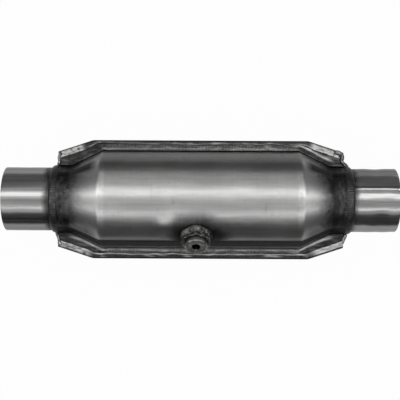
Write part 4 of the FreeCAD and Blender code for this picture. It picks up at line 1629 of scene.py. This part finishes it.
    def build_plug(self, material: bpy.types.Material) -> None:
        """The plug: hexagon socket, rounded head, undercut and a ridged shank."""
        edge, head, top = self.head_edge, self.head_radius, self.plug_top
        key = partial(self.hexagon, flats=self.key_flats, softness=0.12)
        floor, mouth = top - self.key_depth, top - 0.7
        heights = [floor + (mouth - floor) * share for share in (0.0, 0.35, 0.7)] + [top - 0.75]
        rings = [ring(self.around, key, always(height)) for height in heights]
        profile = [(5.1, top - 0.30), (5.25, top - 0.24), (5.7, top - 0.2), (8.0, top - 0.1)]
        profile.append((head - edge - 0.5, top))
        for step in range(6):
            angle = math.radians(90.0 - 18.0 * step)
            spot = (head - edge + edge * math.cos(angle), top - edge + edge * math.sin(angle))
            profile.append(spot)
        profile += [(head, self.seat_top + 0.25), (head - 0.25, self.seat_top)]
        profile += [(self.shank - 0.9, self.seat_top), (self.shank - 0.9, self.seat_top - 1.6)]
        depth = self.seat_top - 2.2
        while depth > self.shank_end + 1.4:
            profile += [(self.shank, depth), (self.shank - 0.8, depth - self.pitch / 2)]
            depth -= self.pitch
        profile += [(self.shank, self.shank_end + 1.2), (self.shank - 1.2, self.shank_end)]
        rings += self.turned(profile)
        piece = self.ring_piece("socket_plug", rings, material, closed=False)
        seat(piece, "plug_steel", "sensor_plug")


# ---------------------------------------------------------------- honeycomb bricks


@dataclass
class HoneycombBrick:
    """A coated ceramic brick: thin plates both ways inside a round skin."""

    end: End
    radius: float = 46.5
    near: float = 16.5
    far: float = 98.0
    pitch: float = 1.27
    wall: float = 0.2
    skin: float = 0.9

    @staticmethod
    def tree() -> GeometryTree:
        """Plates on a line, each as long as its chord, crossed with the same turned."""
        made = GeometryTree("honeycomb", "Middle", "Length", "Radius", "Pitch", "Wall", "Skin")
        given = made.given
        room = given["Radius"] - given["Skin"]
        each_side = (room / given["Pitch"]).math("FLOOR")
        inputs = {
            "Count": each_side * 2.0 + 1.0,
            "Start Location": made.vector(0.0, each_side * given["Pitch"] * -1.0),
            "Offset": made.vector(0.0, given["Pitch"]),
        }
        line = made.value("GeometryNodeMeshLine", {"mode": "OFFSET"}, inputs)
        plate = made.value("GeometryNodeMeshCube", {}, {"Size": (1.0, 1.0, 1.0)})
        level = made.place()[1]
        chord = (room * room - level * level).most(0.0).math("SQRT") * 2.0
        scale = made.vector(given["Length"], given["Wall"], chord)
        inputs = {"Points": line, "Instance": plate, "Scale": scale}
        plates = made.value("GeometryNodeInstanceOnPoints", {}, inputs)
        solid = made.value("GeometryNodeRealizeInstances", {}, {0: plates})
        inputs = {"Geometry": solid, "Rotation": (math.pi / 2, 0.0, 0.0)}
        crossed = made.value("GeometryNodeTransform", {}, inputs)
        inputs = {"Resolution": 128, "Radius": given["Radius"] - given["Skin"] / 2.0}
        circle = made.value("GeometryNodeCurvePrimitiveCircle", {"mode": "RADIUS"}, inputs)
        settings = {"mode": "RECTANGLE"}
        inputs = {"Width": given["Skin"], "Height": given["Length"]}
        section = made.value("GeometryNodeCurvePrimitiveQuadrilateral", settings, inputs)
        inputs = {"Curve": circle, "Profile Curve": section, "Fill Caps": True}
        skin = made.value("GeometryNodeCurveToMesh", {}, inputs)
        inputs = {"Geometry": skin, "Rotation": (0.0, math.pi / 2, 0.0)}
        turned = made.value("GeometryNodeTransform", {}, inputs)
        joined = made.node("GeometryNodeJoinGeometry", {}, {})
        for each in (turned, crossed, solid):
            made.fill(joined, {0: each})
        inputs = {"Geometry": joined.outputs[0], "Translation": made.vector(given["Middle"])}
        made.end(made.value("GeometryNodeTransform", {}, inputs))
        return made

    def build(self, material: bpy.types.Material, tree: GeometryTree) -> None:
        """Grow the brick at this end and seat it."""
        sizes = {
            "Middle": self.end.value * (self.near + self.far) / 2 * MM,
            "Length": (self.far - self.near) * MM,
            "Radius": self.radius * MM,
            "Pitch": self.pitch * MM,
            "Wall": self.wall * MM,
            "Skin": self.skin * MM,
        }
        piece = tree.grow(f"{self.end.word}_honeycomb", material, sizes, 30.0)
        seat(piece, "brick_ceramic", f"{self.end.word}_brick")


# ---------------------------------------------------------------- studio


@dataclass(frozen=True)
class SoftBox:
    """A lamp across the object that faces its middle.

    Args:
        name: the lamp's name.
        angle: from straight up towards +Y, in degrees.
        away: metres from the object.
        width: metres across, square to X.
        length: metres along X.
        glow: its radiance, where 1 is white.
    """

    name: str
    angle: float
    away: float
    width: float
    length: float
    glow: float

    def build(self) -> None:
        """Hang the lamp."""
        light = bpy.data.lights.new(self.name, "AREA")
        light.shape = "RECTANGLE"
        light.size = self.length
        light.size_y = self.width
        light.energy = self.glow * math.pi * self.width * self.length
        lamp = link_object(self.name, light)
        turn = math.radians(self.angle)
        lamp.location = (0.0, self.away * math.sin(turn), self.away * math.cos(turn))
        lamp.rotation_euler = (-turn, 0.0, 0.0)


SOFT_BOXES = (
    SoftBox("overhead", angle=8.0, away=1.55, width=2.3, length=6.4, glow=0.12),
    SoftBox("long_box", angle=17.0, away=1.30, width=0.40, length=5.6, glow=1.62),
    SoftBox("thin_box", angle=-32.5, away=1.30, width=0.15, length=5.6, glow=1.75),
)


@dataclass
class Studio:
    """Floor, dark cards, soft boxes and the camera over the object."""

    floor_level: float = -50.9
    floor_reach: float = 6.0
    camera_place: Triple = (-0.74, -0.3, 870.0)
    view_angle: float = 27.2
    roll: float = 0.3
    side_wall: float = 0.34
    end_wall: float = 0.95
    end_wall_top: float = 0.30
    notch: float = 0.21
    left_tops: Pair = (0.17, 0.40)
    right_tops: Pair = (0.29, 0.29)
    backdrop: float = 0.60

    def floor(self) -> None:
        """A wide white floor that the body rests on."""
        reach, level = self.floor_reach, self.floor_level * MM
        mesh = bpy.data.meshes.new("floor")
        corners = [(-reach, -reach, level), (reach, -reach, level)]
        corners += [(reach, reach, level), (-reach, reach, level)]
        mesh.from_pydata(corners, [], [(0, 1, 2, 3)])
        mesh.materials.append(PaperFloor().build("white_paper"))
        link_object("floor", mesh)

    def cards(self) -> None:
        """Dark cards round the object that only its reflections show."""
        low = (self.floor_level + 0.5) * MM
        far, side, notch = self.end_wall, self.side_wall, self.notch
        walls = [((each * far, -side), (each * far, side), self.end_wall_top) for each in (-1, 1)]
        for y, (middle_top, end_top) in ((side, self.left_tops), (-side, self.right_tops)):
            walls.append(((-notch, y), (notch, y), middle_top))
            walls.append(((-far, y), (-notch, y), end_top))
            walls.append(((notch, y), (far, y), end_top))
        points = []
        faces = []
        for start, stop, top in walls:
            first = len(points)
            points += [(*start, low), (*stop, low), (*stop, top), (*start, top)]
            faces.append((first, first + 1, first + 2, first + 3))
        mesh = bpy.data.meshes.new("dark_cards")
        mesh.from_pydata(points, [], faces)
        for name, grey in (("dark_card", 0.10), ("grey_card", 0.30)):
            shader = Shader(name)
            mesh.materials.append(shader.finish(Base_Color=(grey,) * 3 + (1.0,), Roughness=0.9))
        for outer_left in (3, 4):
            mesh.polygons[outer_left].material_index = 1
        piece = link_object("dark_cards", mesh)
        piece.visible_camera = False
        piece.visible_diffuse = False
        piece.visible_shadow = False

    def world(self) -> None:
        """The same pale grey for every ray."""
        world = bpy.data.worlds.new("studio")
        bpy.context.scene.world = world
        world.use_nodes = True
        nodes = world.node_tree.nodes
        nodes.clear()
        backdrop = nodes.new("ShaderNodeBackground")
        backdrop.inputs["Color"].default_value = (self.backdrop,) * 3 + (1.0,)
        output = nodes.new("ShaderNodeOutputWorld")
        world.node_tree.links.new(backdrop.outputs[0], output.inputs[0])

    def camera(self) -> None:
        """The camera straight above, with the photograph's view angle."""
        data = bpy.data.cameras.new("camera")
        data.sensor_fit = "HORIZONTAL"
        data.angle = math.radians(self.view_angle)
        data.dof.use_dof = False
        data.clip_start = 0.01
        camera = link_object("camera", data)
        camera.location = Vector(self.camera_place) * MM
        camera.rotation_euler = (0.0, 0.0, math.radians(self.roll))
        bpy.context.scene.camera = camera

    def build(self) -> None:
        """Set up the whole studio."""
        bpy.context.scene.view_settings.view_transform = "Standard"
        self.floor()
        self.cards()
        self.world()
        self.camera()
        for box in SOFT_BOXES:
            box.build()


# ---------------------------------------------------------------- the whole


def dress_nodes(
    nodes: dict[str, bpy.types.Object], finishes: dict[str, bpy.types.Material]
) -> None:
    """Give the mats and seals, which keep their CAD shape, their finishes."""
    for name, node in nodes.items():
        for ending, slot in (("_seal", "seal_wire"), ("_mat", "mat_fibre")):
            if name.endswith(ending):
                node.data.materials.clear()
                node.data.materials.append(finishes[slot])
                LOG.info("%s: %s", name, slot)


def main() -> None:
    """Build the studio and every piece in order."""
    logging.basicConfig(level=logging.INFO, format="%(name)s: %(message)s")
    Studio().build()
    finishes = {name: finish.build(name) for name, finish in FINISHES.items()}
    for half in Half:
        HalfShell(half).build(finishes["shell_steel"])
    tube, weld = finishes["neck_steel"], finishes["weld_steel"]
    Neck(End.INLET, seam_angle=-38.0, waviness=0.12).build(tube)
    Neck(End.OUTLET, seam_angle=22.0, seam_height=0.4, waviness=0.62, notch=2.4).build(tube)
    bead = NeckBead.tree()
    NeckBead(End.INLET, middle=150.4, width=4.2).build(weld, bead)
    NeckBead(End.OUTLET, middle=152.2, width=4.4).build(weld, bead)
    for (end, side), path in END_PATHS.items():
        seed = 9.0 * end.value + 23.0 * side.value
        EndBead(end, side, path, seed=seed).build(finishes["bead_steel"])
    port = SensorPort()
    port.build_boss(finishes["boss_steel"])
    port.build_weld(finishes["boss_weld_steel"])
    port.build_gasket(finishes["gasket_steel"])
    port.build_plug(finishes["plug_steel"])
    comb = HoneycombBrick.tree()
    for end in End:
        HoneycombBrick(end).build(finishes["brick_ceramic"], comb)
    dress_nodes(frame["nodes"], finishes)


if __name__ == "__main__":
    main()
